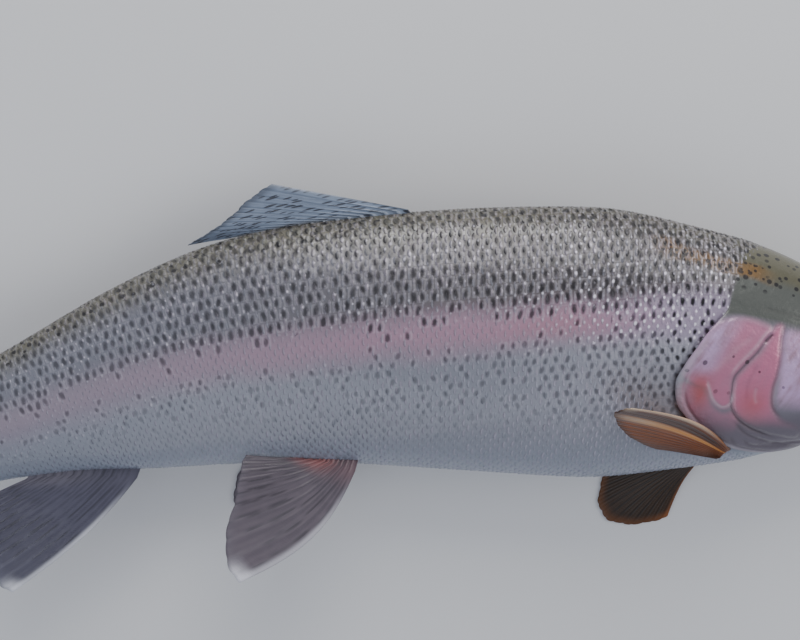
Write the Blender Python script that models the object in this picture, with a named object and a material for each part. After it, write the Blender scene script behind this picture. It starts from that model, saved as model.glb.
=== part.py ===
"""Rainbow trout, life size, lying at rest on its left side.

The head points along +X, the back along +Y and the right flank faces up, +Z. The left flank is pressed
flat where it lies, at z = 0. Every piece is a closed solid in metres.

The body is one lofted form. PROFILE gives its outline at a few stations, each a share of the standard
length from the snout tip, and BodyAxis bends the loft the way the fish lies. The head, trunk and tail
stem are lengths of that loft. The gill covers, the lower jaw and the eyes are cut out of it. Each fin is
a fan of rays laid between a base line on the skin and a free edge.
"""

import math
from dataclasses import dataclass

import bmesh
import bpy
import numpy as np
from mathutils import Matrix, Vector

# Driving dimensions, in metres
STANDARD_LENGTH = 0.375  # snout tip to the end of the tail stem
REST_HEIGHT = 0.0232  # body axis above the floor, a little less than half the greatest width
GAP = 0.0003  # kept between touching pieces
SNOUT_ROUNDING = 0.035  # share of the length over which the snout rounds off

# Driving dimensions of how it lies, in degrees
TAIL_DROOP = 18.0  # turn of the tail stem towards the belly
HEAD_DROOP = 9.0  # turn of the snout towards the belly
TAIL_LIFT = 10.0  # turn of the tail stem off the floor
DROOP_START, DROOP_END, LIFT_START, LIFT_END, NECK_END = 0.44, 0.82, 0.50, 0.94, 0.42  # shares of the length

# Share of the length from the snout, then the height above the axis, the depth below it and the half
# width as shares of the length, then how full the section is above and below: 1 is an ellipse.
PROFILE = (
    (0.000, 0.028, 0.030, 0.026, 1.00, 1.00),
    (0.050, 0.050, 0.053, 0.037, 0.95, 0.95),
    (0.100, 0.073, 0.076, 0.046, 0.92, 0.95),
    (0.160, 0.094, 0.098, 0.056, 0.95, 0.95),
    (0.225, 0.109, 0.113, 0.062, 1.05, 0.95),
    (0.320, 0.123, 0.125, 0.066, 1.10, 0.92),
    (0.420, 0.121, 0.120, 0.065, 1.10, 0.92),
    (0.520, 0.114, 0.113, 0.060, 1.10, 0.95),
    (0.630, 0.104, 0.103, 0.050, 1.08, 1.00),
    (0.730, 0.083, 0.087, 0.037, 1.05, 1.00),
    (0.820, 0.062, 0.062, 0.026, 1.00, 1.00),
    (0.900, 0.049, 0.050, 0.018, 1.00, 1.00),
    (1.000, 0.056, 0.056, 0.009, 1.00, 1.00),
)

# The lengths of the body: name, first and last share of the length, sections along it
BODY_LENGTHS = (
    ("head", 0.000, 0.185, 16),
    ("trunk_front", 0.185, 0.350, 8),
    ("trunk_middle", 0.350, 0.520, 8),
    ("trunk_rear", 0.520, 0.730, 9),
    ("tail_stem", 0.730, 1.000, 11),
)
AROUND = 36  # points round each section

# Eyes: station, height as a share of the local height, radius and half thickness in metres
EYE_STATION, EYE_HEIGHT, EYE_RADIUS, EYE_HALF_THICKNESS, EYE_SINK = 0.074, 0.30, 0.0062, 0.0042, 0.0026

# Gill covers: stations of the front and rear edges from top to bottom, section angles in degrees
GILL_TOP_ANGLE, GILL_BOTTOM_ANGLE = 55.0, 152.0
GILL_FRONT = (0.146, 0.142, 0.139, 0.137, 0.136, 0.132, 0.121)
GILL_REAR = (0.163, 0.181, 0.200, 0.215, 0.218, 0.195, 0.155)
GILL_THICKNESS, GILL_FLARE = 0.0024, 0.0008
GILL_ROWS, GILL_COLUMNS = 13, 8
CUT_CLEAR = 0.004  # how far a recess's cutter stands out of the skin

# Lower jaw: its upper edge at the tip, its corner and its rear, metres back from the snout and above the axis
JAW_TIP, JAW_CORNER, JAW_REAR = (-0.006, -0.0022), (0.036, -0.0125), (0.041, -0.0190)
JAW_DEPTH, JAW_HALF_WIDTH = 0.050, 0.040  # of the space it is cut from, well past the skin

RIGHT, LEFT = 1, -1

COLOURS = {
    "back": ((0.20, 0.21, 0.17, 1), 0.35, 0.1),
    "flank": ((0.42, 0.43, 0.45, 1), 0.30, 0.3),
    "cheek": ((0.60, 0.33, 0.38, 1), 0.28, 0.3),
    "fin": ((0.45, 0.39, 0.38, 1), 0.40, 0.0),
    "amber_fin": ((0.55, 0.30, 0.14, 1), 0.40, 0.0),
    "eye": ((0.05, 0.04, 0.03, 1), 0.08, 0.0),
}


def smoothstep(x):
    """0 before 0, 1 after 1, and a smooth turn between them."""
    x = np.clip(x, 0.0, 1.0)
    return x * x * (3.0 - 2.0 * x)


def smooth_through(x, xs, ys):
    """The value at x of a smooth curve through the points (xs, ys), with no overshoot past them."""
    xs, ys = np.asarray(xs, float), np.asarray(ys, float)
    slopes = np.diff(ys) / np.diff(xs)
    tangents = np.concatenate(([slopes[0]], (slopes[1:] + slopes[:-1]) / 2, [slopes[-1]]))
    peaks = np.concatenate(([False], slopes[1:] * slopes[:-1] <= 0, [False]))
    tangents[peaks] = 0.0
    i = int(np.clip(np.searchsorted(xs, x) - 1, 0, len(xs) - 2))
    h = xs[i + 1] - xs[i]
    u = (x - xs[i]) / h
    return (
        ys[i] * (1 + 2 * u) * (1 - u) ** 2
        + tangents[i] * h * u * (1 - u) ** 2
        + ys[i + 1] * u * u * (3 - 2 * u)
        - tangents[i + 1] * h * u * u * (1 - u)
    )


def evenly(first, last, count):
    """count numbers from first to last, both included."""
    return [first + (last - first) * i / (count - 1) for i in range(count)]


class BodyAxis:
    """The line through the middle of the body, and the directions of tail, back and right flank along it."""

    STEPS = 400

    def __init__(self):
        self.places = np.linspace(0.0, 1.0, self.STEPS + 1)
        tangents = np.array([self.directions(s)[0] for s in self.places])
        step = STANDARD_LENGTH / self.STEPS
        line = np.vstack((np.zeros(3), np.cumsum((tangents[1:] + tangents[:-1]) / 2, axis=0) * step))
        self.line = line + (0, 0, REST_HEIGHT)

    @staticmethod
    def directions(share):
        """Unit vectors towards the tail, the back and the right flank at a share of the length."""
        droop = math.radians(TAIL_DROOP) * smoothstep((share - DROOP_START) / (DROOP_END - DROOP_START))
        droop -= math.radians(HEAD_DROOP) * smoothstep((NECK_END - share) / NECK_END)
        lift = math.radians(TAIL_LIFT) * smoothstep((share - LIFT_START) / (LIFT_END - LIFT_START))
        tail = (-math.cos(lift) * math.cos(droop), -math.cos(lift) * math.sin(droop), math.sin(lift))
        back = (-math.sin(droop), math.cos(droop), 0.0)
        right = (math.sin(lift) * math.cos(droop), math.sin(lift) * math.sin(droop), math.cos(lift))
        return np.array(tail), np.array(back), np.array(right)

    def point(self, share):
        """The axis point at a share of the length, which may run a little past either end."""
        inside = min(max(share, 0.0), 1.0)
        found = np.array([np.interp(inside, self.places, self.line[:, k]) for k in range(3)])
        return found + self.directions(inside)[0] * (share - inside) * STANDARD_LENGTH

    def place(self, share, height, lateral):
        """The world point at a height above and a distance to the right of the axis."""
        _, back, right = self.directions(share)
        return self.point(share) + back * height + right * lateral


AXIS = BodyAxis()


def station(share):
    """Height above, depth below and half width in metres, and the two fullness exponents."""
    columns = list(zip(*PROFILE))
    top, bottom, width, over, under = (
        smooth_through(share, columns[0], column) for column in columns[1:]
    )
    past = min(max(share, 0.0) / SNOUT_ROUNDING, 1.0)
    blunt = math.sqrt(1.0 - (1.0 - past) ** 2)
    return (
        top * blunt * STANDARD_LENGTH,
        bottom * blunt * STANDARD_LENGTH,
        width * blunt * STANDARD_LENGTH,
        over,
        under,
    )


def section_point(share, angle, grow=0.0):
    """Height and lateral place of the skin at an angle: 0 is the back, 90 the right flank, 180 the belly."""
    top, bottom, width, over, under = station(share)
    c, s = math.cos(math.radians(angle)), math.sin(math.radians(angle))
    height = ((top if c > 0 else bottom) + grow) * c
    lateral = (width + grow) * math.copysign(abs(s) ** (over if c > 0 else under), s)
    return height, lateral


def skin(share, angle, grow=0.0):
    """World point on the skin, moved out by grow, and no lower than the floor."""
    height, lateral = section_point(share, angle, grow)
    place = AXIS.place(share, height, lateral)
    place[2] = max(place[2], -grow)
    return place


def outward(share, angle):
    """Unit normal of the skin, from its own slopes, before the floor presses it flat."""
    def raw(s, a):
        return AXIS.place(s, *section_point(s, a))

    along = raw(share + 0.002, angle) - raw(share - 0.002, angle)
    round_it = raw(share, angle + 1.0) - raw(share, angle - 1.0)
    normal = np.cross(round_it, along)
    normal /= np.linalg.norm(normal)
    away = raw(share, angle) - AXIS.point(share)
    return normal if np.dot(normal, away) > 0 else -normal


# Meshes and materials


def finish_of(name):
    """The material called name, made once."""
    found = bpy.data.materials.get(name)
    if found:
        return found
    colour, roughness, metallic = COLOURS[name]
    material = bpy.data.materials.new(name)
    material.use_nodes = True
    shader = material.node_tree.nodes["Principled BSDF"]
    shader.inputs["Base Color"].default_value = colour
    shader.inputs["Roughness"].default_value = roughness
    shader.inputs["Metallic"].default_value = metallic
    material.diffuse_color = colour
    return material


def add_solid(name, points, faces, finish=None):
    """A mesh object from points and faces, its normals turned outwards. A cutter has no finish."""
    mesh = bpy.data.meshes.new(name)
    mesh.from_pydata([tuple(p) for p in points], [], faces)
    shape = bmesh.new()
    shape.from_mesh(mesh)
    bmesh.ops.recalc_face_normals(shape, faces=shape.faces)
    shape.to_mesh(mesh)
    shape.free()
    solid = bpy.data.objects.new(name, mesh)
    bpy.context.scene.collection.objects.link(solid)
    if finish:
        mesh.shade_smooth()
        mesh.materials.append(finish_of(finish))
    else:
        solid.hide_render = True
        solid.display_type = "WIRE"
    return solid


def boolean(solid, cutter, operation="DIFFERENCE"):
    """Cuts solid with cutter, or keeps what both hold."""
    modifier = solid.modifiers.new(cutter.name, "BOOLEAN")
    modifier.object = cutter
    modifier.operation = operation
    modifier.solver = "EXACT"


def sealed_grid(rows):
    """Points and faces of rows of points, each row a closed ring, capped at both ends."""
    width = len(rows[0])
    points = [p for row in rows for p in row]
    faces = []
    for i in range(len(rows) - 1):
        for j in range(width):
            k = (j + 1) % width
            faces.append((i * width + j, i * width + k, (i + 1) * width + k, (i + 1) * width + j))
    for start, row in ((0, rows[0]), ((len(rows) - 1) * width, rows[-1])):
        points.append(sum(np.asarray(p) for p in row) / width)
        hub = len(points) - 1
        faces += [(hub, start + j, start + (j + 1) % width) for j in range(width)]
    return points, faces


def slab(outer, inner):
    """Points and faces of a plate between two grids of points of one size."""
    rows, columns = len(outer), len(outer[0])
    points = [p for row in outer for p in row] + [p for row in inner for p in row]
    under = rows * columns
    faces = []
    for i in range(rows - 1):
        for j in range(columns - 1):
            a, b = i * columns + j, (i + 1) * columns + j
            faces.append((a, a + 1, b + 1, b))
            faces.append((under + a, under + b, under + b + 1, under + a + 1))
    rim = [j for j in range(columns)]
    rim += [i * columns + columns - 1 for i in range(1, rows)]
    rim += [(rows - 1) * columns + j for j in range(columns - 2, -1, -1)]
    rim += [i * columns for i in range(rows - 2, 0, -1)]
    for a, b in zip(rim, rim[1:] + rim[:1]):
        faces.append((a, under + a, under + b, b))
    return points, faces


# Body


def body_rings(first, last, count, grow=0.0):
    """Rings of skin points from one share of the length to another, close together at the snout."""
    shares = evenly(first, last, count)
    if first == 0.0:
        shares = [last * (i / (count - 1)) ** 1.7 for i in range(count)]
        shares[0] = 0.0004
    return [[skin(s, 360.0 * j / AROUND, grow) for j in range(AROUND)] for s in shares]


def add_body():
    """The head, trunk and tail stem as lengths of one loft, a gap apart."""
    half_gap = GAP / 2 / STANDARD_LENGTH
    made = {}
    for name, first, last, count in BODY_LENGTHS:
        start = first + half_gap if first > 0.0 else first
        end = last - half_gap if last < 1.0 else last
        finish = "back" if name == "head" else "flank"
        made[name] = add_solid(name, *sealed_grid(body_rings(start, end, count)), finish)
    return made


def add_body_cutter():
    """The whole body grown by one gap, which trims what grows out of it."""
    return add_solid("cut_body", *sealed_grid(body_rings(0.0, 1.0, 56, GAP)))


# Head


def gill_grid(side, lift, widen):
    """Points over one gill cover, lift metres off the skin, with its edges moved out by widen metres."""
    knots = evenly(0.0, 1.0, len(GILL_REAR))
    stretch = math.degrees(widen / station(GILL_REAR[0])[0])
    grid = []
    for u in evenly(0.0, 1.0, GILL_ROWS):
        angle = GILL_TOP_ANGLE - stretch + (GILL_BOTTOM_ANGLE - GILL_TOP_ANGLE + 2 * stretch) * u
        front = smooth_through(u, knots, GILL_FRONT) - widen / STANDARD_LENGTH
        rear = smooth_through(u, knots, GILL_REAR) + widen / STANDARD_LENGTH
        row = []
        for across in evenly(0.0, 1.0, GILL_COLUMNS):
            share = front + (rear - front) * across
            flare = GILL_FLARE * across**2 if lift >= 0 else 0.0
            place = skin(share, side * angle) + outward(share, side * angle) * (lift + flare)
            if not widen:
                place[2] = max(place[2], 0.0)
            row.append(place)
        grid.append(row)
    return grid


def add_gill_covers(body):
    """A gill cover on each side, and the recess it lies in."""
    for side, word in ((RIGHT, "right"), (LEFT, "left")):
        outer, inner = gill_grid(side, CUT_CLEAR, GAP), gill_grid(side, -GILL_THICKNESS - GAP, GAP)
        recess = add_solid(f"cut_gill_{word}", *slab(outer, inner))
        boolean(body["head"], recess)
        boolean(body["trunk_front"], recess)
        outer, inner = gill_grid(side, 0.0, 0.0), gill_grid(side, -GILL_THICKNESS, 0.0)
        add_solid(f"gill_cover_{word}", *slab(outer, inner), "cheek")


def eye_solid(name, side, grow, finish=None):
    """A flattened ball in the side of the head."""
    angle = side * math.degrees(math.acos(EYE_HEIGHT))
    out = Vector(outward(EYE_STATION, angle))
    centre = Vector(skin(EYE_STATION, angle)) - out * EYE_SINK
    shape = bmesh.new()
    bmesh.ops.create_uvsphere(shape, u_segments=16, v_segments=10, radius=1.0)
    turn = out.to_track_quat("Z", "Y").to_matrix()
    size = Vector((EYE_RADIUS + grow, EYE_RADIUS + grow, EYE_HALF_THICKNESS + grow))
    for vertex in shape.verts:
        vertex.co = centre + turn @ (vertex.co * size)
    points = [vertex.co.copy() for vertex in shape.verts]
    faces = [[vertex.index for vertex in face.verts] for face in shape.faces]
    shape.free()
    return add_solid(name, points, faces, finish)


def add_eyes(head):
    """Both eyes, and their sockets in the head."""
    for side, word in ((RIGHT, "right"), (LEFT, "left")):
        boolean(head, eye_solid(f"cut_socket_{word}", side, GAP))
        eye_solid(f"eye_{word}", side, 0.0, "eye")


def jaw_prism(name, drop):
    """The space of the lower jaw, right across the head, its upper edges lowered by drop."""
    outline = (
        (JAW_TIP[0], JAW_TIP[1] - drop),
        (JAW_CORNER[0] - drop, JAW_CORNER[1] - drop),
        (JAW_REAR[0] - drop, JAW_REAR[1] - drop),
        (JAW_REAR[0] - drop, -JAW_DEPTH),
        (JAW_TIP[0], -JAW_DEPTH),
    )
    sides = []
    for lateral in (-JAW_HALF_WIDTH, JAW_HALF_WIDTH):
        sides.append([AXIS.place(x / STANDARD_LENGTH, y, lateral) for x, y in outline])
    return add_solid(name, *sealed_grid(sides))


def add_lower_jaw(head):
    """The lower jaw, cut out of the front of the head."""
    jaw = add_solid("lower_jaw", *sealed_grid(body_rings(0.0, 0.15, 16)), "back")
    boolean(jaw, jaw_prism("keep_jaw", GAP), "INTERSECT")
    boolean(head, jaw_prism("cut_jaw", 0.0))


# Fins


@dataclass
class Fin:
    """A fan of rays from a base line on the skin to a free edge.

    stations and angles place the roots of the first and the last ray. first and last are those rays'
    directions: degrees from the tail direction towards the back, then towards the right. lengths are those
    of the first, middle and last ray in metres. sag bellies the blade to the right, bow curves the first
    rays forward, and a fin with on_floor set drops to the floor and lies on it.
    """

    name: str
    stations: tuple
    angles: tuple
    first: tuple
    last: tuple
    lengths: tuple
    finish: str = "fin"
    sag: float = 0.0
    bow: float = 0.0
    on_floor: bool = False

    RAYS, STEPS, INSET = 11, 7, 0.003
    BASE_THICKNESS, EDGE_THICKNESS = 0.0026, 0.0007
    CORNER = 0.14  # share of the fan over which the free edge rounds into the first ray

    def direction(self, lean, out):
        """A unit vector lean degrees from the tail direction towards the back, out degrees to the right."""
        tail, back, right = AXIS.directions(self.stations[0])
        lean, out = math.radians(lean), math.radians(out)
        flat = tail * math.cos(lean) + back * math.sin(lean)
        return flat * math.cos(out) + right * math.sin(out)

    def mix(self, ends, q):
        """The value a share q of the way from the first ray's to the last ray's."""
        return ends[0] + (ends[1] - ends[0]) * q

    def ray(self, q):
        """Root, direction and length of the ray at q, 0 for the first and 1 for the last."""
        root = skin(self.mix(self.stations, q), self.mix(self.angles, q))
        leans, outs = zip(self.first, self.last)
        way = self.direction(self.mix(leans, q), self.mix(outs, q))
        lengths = (self.lengths[0] * 0.93, *self.lengths)
        return root, way, smooth_through(q, (0.0, self.CORNER, 0.5, 1.0), lengths)

    def middle_line(self, q, r):
        """The point a share r of the way out along the ray at q. The first point is below the skin."""
        root, way, length = self.ray(q)
        if r == 0.0:
            inward = outward(self.mix(self.stations, q), self.mix(self.angles, q))
            return self.settle(root - inward * self.INSET, r)
        tail, back, right = AXIS.directions(self.stations[0])
        forward = -tail * 0.7 + back * math.copysign(0.7, self.first[0])
        bowed = forward * self.bow * math.sin(math.pi * r) * (1.0 - q) ** 2
        bellied = right * self.sag * math.sin(math.pi * q) * r
        return self.settle(root + way * length * r + bowed + bellied, r)

    def settle(self, place, r):
        """Drops a point to the floor, the further out along the ray the more, if the fin lies there."""
        if self.on_floor:
            rest = self.EDGE_THICKNESS / 2 + GAP
            drop = smoothstep(r / 0.35)
            place[2] = place[2] * (1 - drop) + rest * drop
        return place

    def add(self, cutter=None):
        """Adds the fin as a closed plate, thick at the base and thin at the edge, trimmed by a cutter."""
        reach = evenly(0.0, 1.0, self.STEPS)
        points = np.array([[self.middle_line(q, r) for r in reach] for q in evenly(0.0, 1.0, self.RAYS)])
        across, along = np.gradient(points, axis=(0, 1))
        normals = np.cross(across, along)
        normals /= np.linalg.norm(normals, axis=2, keepdims=True)
        thinning = np.array(reach) ** 0.7
        half = (self.BASE_THICKNESS + (self.EDGE_THICKNESS - self.BASE_THICKNESS) * thinning) / 2
        offset = normals * half[None, :, None]
        faces = [points + offset, points - offset]
        for face in faces:
            face[..., 2] = np.maximum(face[..., 2], 0.0)
        fin = add_solid(self.name, *slab(*faces), self.finish)
        if cutter:
            boolean(fin, cutter)


class TailFin(Fin):
    """The tail fin: rays fan out evenly from the end of the tail stem, shortest in the fork."""

    RAYS = 17
    HALF_FAN = 31.0
    OUTER_RAY, FORK_RAY = 0.054, 0.036

    def ray(self, q):
        """Rays from the edge of the tail stem's end face."""
        across = 1.0 - 2.0 * q
        root = AXIS.place(1.0, across * station(1.0)[0] * 0.93, 0.0)
        length = self.FORK_RAY + (self.OUTER_RAY - self.FORK_RAY) * abs(across) ** 1.5
        length *= 1.0 - 0.8 * max(0.0, abs(across) - 0.88)
        return root, self.direction(self.HALF_FAN * across, 0.0), length

    def middle_line(self, q, r):
        """Starts one gap behind the tail stem."""
        root, way, length = self.ray(q)
        return root + AXIS.directions(1.0)[0] * GAP + way * length * r


FINS = (
    Fin(
        name="dorsal_fin",
        stations=(0.470, 0.605),
        angles=(0, 0),
        first=(11, 0),
        last=(-6, 0),
        lengths=(0.049, 0.041, 0.022),
        sag=0.002,
    ),
    Fin(
        name="adipose_fin",
        stations=(0.842, 0.868),
        angles=(0, 0),
        first=(34, 0),
        last=(12, 0),
        lengths=(0.0125, 0.0115, 0.0070),
    ),
    Fin(
        name="anal_fin",
        stations=(0.725, 0.825),
        angles=(180, 180),
        first=(-28, 4),
        last=(-8, 4),
        lengths=(0.061, 0.041, 0.022),
        sag=0.002,
    ),
    Fin(
        name="pelvic_fin_right",
        stations=(0.520, 0.566),
        angles=(160, 166),
        first=(-44, 16),
        last=(-6, 6),
        lengths=(0.057, 0.042, 0.021),
        bow=0.004,
    ),
    Fin(
        name="pelvic_fin_left",
        stations=(0.520, 0.566),
        angles=(200, 194),
        first=(-34, 0),
        last=(-4, 0),
        lengths=(0.050, 0.042, 0.022),
        on_floor=True,
    ),
    Fin(
        name="pectoral_fin_right",
        stations=(0.178, 0.191),
        angles=(150, 162),
        first=(28, 42),
        last=(4, 14),
        lengths=(0.056, 0.050, 0.031),
        finish="amber_fin",
    ),
    Fin(
        name="pectoral_fin_left",
        stations=(0.180, 0.193),
        angles=(210, 199),
        first=(-58, 0),
        last=(-27, 0),
        lengths=(0.039, 0.046, 0.042),
        finish="amber_fin",
        on_floor=True,
    ),
)
TAIL_FIN = TailFin("tail_fin", (1.0, 1.0), (0, 0), (0, 0), (0, 0), (0, 0, 0))


def centre_on_origin():
    """Moves every mesh so that the middle of the whole fish's box is over the origin."""
    solids = [thing for thing in bpy.data.objects if not thing.hide_render]
    points = np.array([vertex.co for solid in solids for vertex in solid.data.vertices])
    low, high = points.min(axis=0), points.max(axis=0)
    shift = Vector((-(low[0] + high[0]) / 2, -(low[1] + high[1]) / 2, 0.0))
    for thing in bpy.data.objects:
        thing.data.transform(Matrix.Translation(shift))


def build():
    """Clears the scene and adds every piece."""
    for old in list(bpy.data.objects):
        bpy.data.objects.remove(old)
    body = add_body()
    add_gill_covers(body)
    add_lower_jaw(body["head"])
    add_eyes(body["head"])
    cutter = add_body_cutter()
    for fin in FINS:
        fin.add(cutter)
    TAIL_FIN.add()
    centre_on_origin()


build()
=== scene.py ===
"""Looks of a life-size rainbow trout that lies on its left side: skin, scales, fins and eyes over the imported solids.

The head points along +X, the back along +Y and the right flank faces up. A place on the body is a share of
the standard length from the snout tip and a section angle: 0 is the back, 90 the right flank, 180 the belly
and -90 the left flank. Lengths are in metres, or in millimetres where a name or a docstring says so.
"""

import logging
import math
from dataclasses import dataclass, field
from enum import Enum
from functools import cache, cached_property
from typing import Any

import bpy
import numpy as np
from mathutils import Matrix, Vector


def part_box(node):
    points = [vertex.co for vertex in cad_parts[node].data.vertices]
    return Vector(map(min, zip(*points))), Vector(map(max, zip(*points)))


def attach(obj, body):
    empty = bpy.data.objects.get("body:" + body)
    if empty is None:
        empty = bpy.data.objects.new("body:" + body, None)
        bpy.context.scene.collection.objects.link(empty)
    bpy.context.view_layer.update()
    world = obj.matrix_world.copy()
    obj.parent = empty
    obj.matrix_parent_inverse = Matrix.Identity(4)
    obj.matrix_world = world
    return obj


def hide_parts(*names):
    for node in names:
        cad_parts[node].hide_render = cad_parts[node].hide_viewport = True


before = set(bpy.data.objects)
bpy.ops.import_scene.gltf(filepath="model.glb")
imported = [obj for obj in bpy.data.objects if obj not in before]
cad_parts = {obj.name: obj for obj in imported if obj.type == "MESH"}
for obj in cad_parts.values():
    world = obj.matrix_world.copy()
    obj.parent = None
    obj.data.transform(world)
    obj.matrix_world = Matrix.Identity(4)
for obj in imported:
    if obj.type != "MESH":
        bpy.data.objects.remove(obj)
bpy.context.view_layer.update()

Array = np.ndarray
Colour = tuple[float, float, float, float]
Path = tuple[tuple[float, float], ...]
LOG = logging.getLogger("trout")
MM = 0.001
TINY = 1e-12  # keeps a quotient finite
LEFT_ROWS = 400.0  # the left flank's rows are numbered from here, so that its marks differ from the right's
BAKE_PATCH = 0.003  # a scale's length on the bake map
FLOOR_SOFTNESS = 0.0004  # how gently the flank turns into the flat it lies on
SKIN_DEPTH = 0.00038  # the skin lies this far inside the solids, under the scales


class Side(Enum):
    """A flank, by the sign of its section angles."""

    RIGHT = 1
    LEFT = -1


# Numbers


def smoothstep(x: Array) -> Array:
    """0 before 0, 1 after 1, and a smooth turn between them.

    Args:
        x: any numbers.

    Returns:
        Numbers from 0 to 1.
    """
    x = np.clip(x, 0.0, 1.0)
    return x * x * (3.0 - 2.0 * x)


def rise(x: Array, start: float, end: float) -> Array:
    """A smooth turn from 0 at start to 1 at end."""
    return smoothstep((np.asarray(x, float) - start) / (end - start))


def mix(first: Any, last: Any, share: Any) -> Any:
    """The value a share of the way from first to last."""
    return first + (last - first) * share


def smooth_through(x: Array, xs: Any, ys: Any) -> Array:
    """A smooth curve through points, with no overshoot past them.

    Args:
        x: where the curve is read.
        xs: the points' places, rising.
        ys: the points' heights.

    Returns:
        The curve's heights at x.
    """
    x, xs, ys = np.asarray(x, float), np.asarray(xs, float), np.asarray(ys, float)
    slopes = np.diff(ys) / np.diff(xs)
    tangents = np.concatenate(([slopes[0]], (slopes[1:] + slopes[:-1]) / 2, [slopes[-1]]))
    tangents[np.concatenate(([False], slopes[1:] * slopes[:-1] <= 0, [False]))] = 0.0
    i = np.clip(np.searchsorted(xs, x) - 1, 0, len(xs) - 2)
    h = xs[i + 1] - xs[i]
    u = (x - xs[i]) / h
    rest = ys[i] * (1 + 2 * u) * (1 - u) ** 2 + ys[i + 1] * u * u * (3 - 2 * u)
    return rest + tangents[i] * h * u * (1 - u) ** 2 - tangents[i + 1] * h * u * u * (1 - u)


def look_up(table: Array, across: Array, down: Array) -> Array:
    """Reads a table between its entries.

    Args:
        table: rows and columns of numbers.
        across: place among the rows, 0 to 1.
        down: place among the columns, 0 to 1.

    Returns:
        The numbers there.
    """
    r = np.clip(across, 0.0, 1.0) * (table.shape[0] - 1)
    c = np.clip(down, 0.0, 1.0) * (table.shape[1] - 1)
    i = np.minimum(r.astype(int), table.shape[0] - 2)
    j = np.minimum(c.astype(int), table.shape[1] - 2)
    r, c = r - i, c - j
    above = table[i, j] * (1 - c) + table[i, j + 1] * c
    return above * (1 - r) + (table[i + 1, j] * (1 - c) + table[i + 1, j + 1] * c) * r


def rest_on_floor(points: Array, least: float = 0.0001) -> Array:
    """Points pressed gently flat where they would be under the floor, their order kept.

    Args:
        points: world points.
        least: the lowest height that any of them gets.

    Returns:
        The points, pressed.
    """
    points = points.copy()
    z = points[..., 2] / FLOOR_SOFTNESS
    points[..., 2] = least + FLOOR_SOFTNESS * np.where(z > 30, z, np.log1p(np.exp(np.minimum(z, 30))))
    return points


def curve_through(path: Any, closed: bool, steps: int = 5) -> Array:
    """More points along a smooth curve through a few.

    Args:
        path: the points.
        closed: whether the last joins the first.
        steps: points made for each one given.

    Returns:
        The points of the curve.
    """
    p = np.asarray(path, float)
    p = np.vstack((p[-1], p, p[:2])) if closed else np.vstack((2 * p[0] - p[1], p, 2 * p[-1] - p[-2]))
    found = []
    for a, b, c, d in zip(p[:-3], p[1:-2], p[2:-1], p[3:]):
        t = np.linspace(0, 1, steps, endpoint=False)[:, None]
        found.append(0.5 * (2 * b + (c - a) * t + (2 * a - 5 * b + 4 * c - d) * t**2 + (3 * b - a - 3 * c + d) * t**3))
    return np.vstack(found if closed else [*found, p[-2][None]])


def measure(points: Array, path: Array) -> tuple[Array, Array]:
    """How far points are from a path.

    Args:
        points: places, two numbers each.
        path: the path's points.

    Returns:
        Distances, positive to the left of the path, and shares along it.
    """
    best = np.full(len(points), 1e9)
    side, along = np.ones(len(points)), np.zeros(len(points))
    reach = np.concatenate(([0.0], np.cumsum(np.linalg.norm(np.diff(path, axis=0), axis=1))))
    for k, (a, b) in enumerate(zip(path[:-1], path[1:])):
        ab, ap = b - a, points - a
        t = np.clip(ap @ ab / max(ab @ ab, TINY), 0, 1)
        gap = np.linalg.norm(ap - t[:, None] * ab, axis=1)
        near = gap < best
        best[near] = gap[near]
        side[near] = np.sign(ab[0] * ap[near, 1] - ab[1] * ap[near, 0])
        along[near] = (reach[k] + t[near] * (reach[k + 1] - reach[k])) / reach[-1]
    return best * side, along


# Body form


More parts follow.
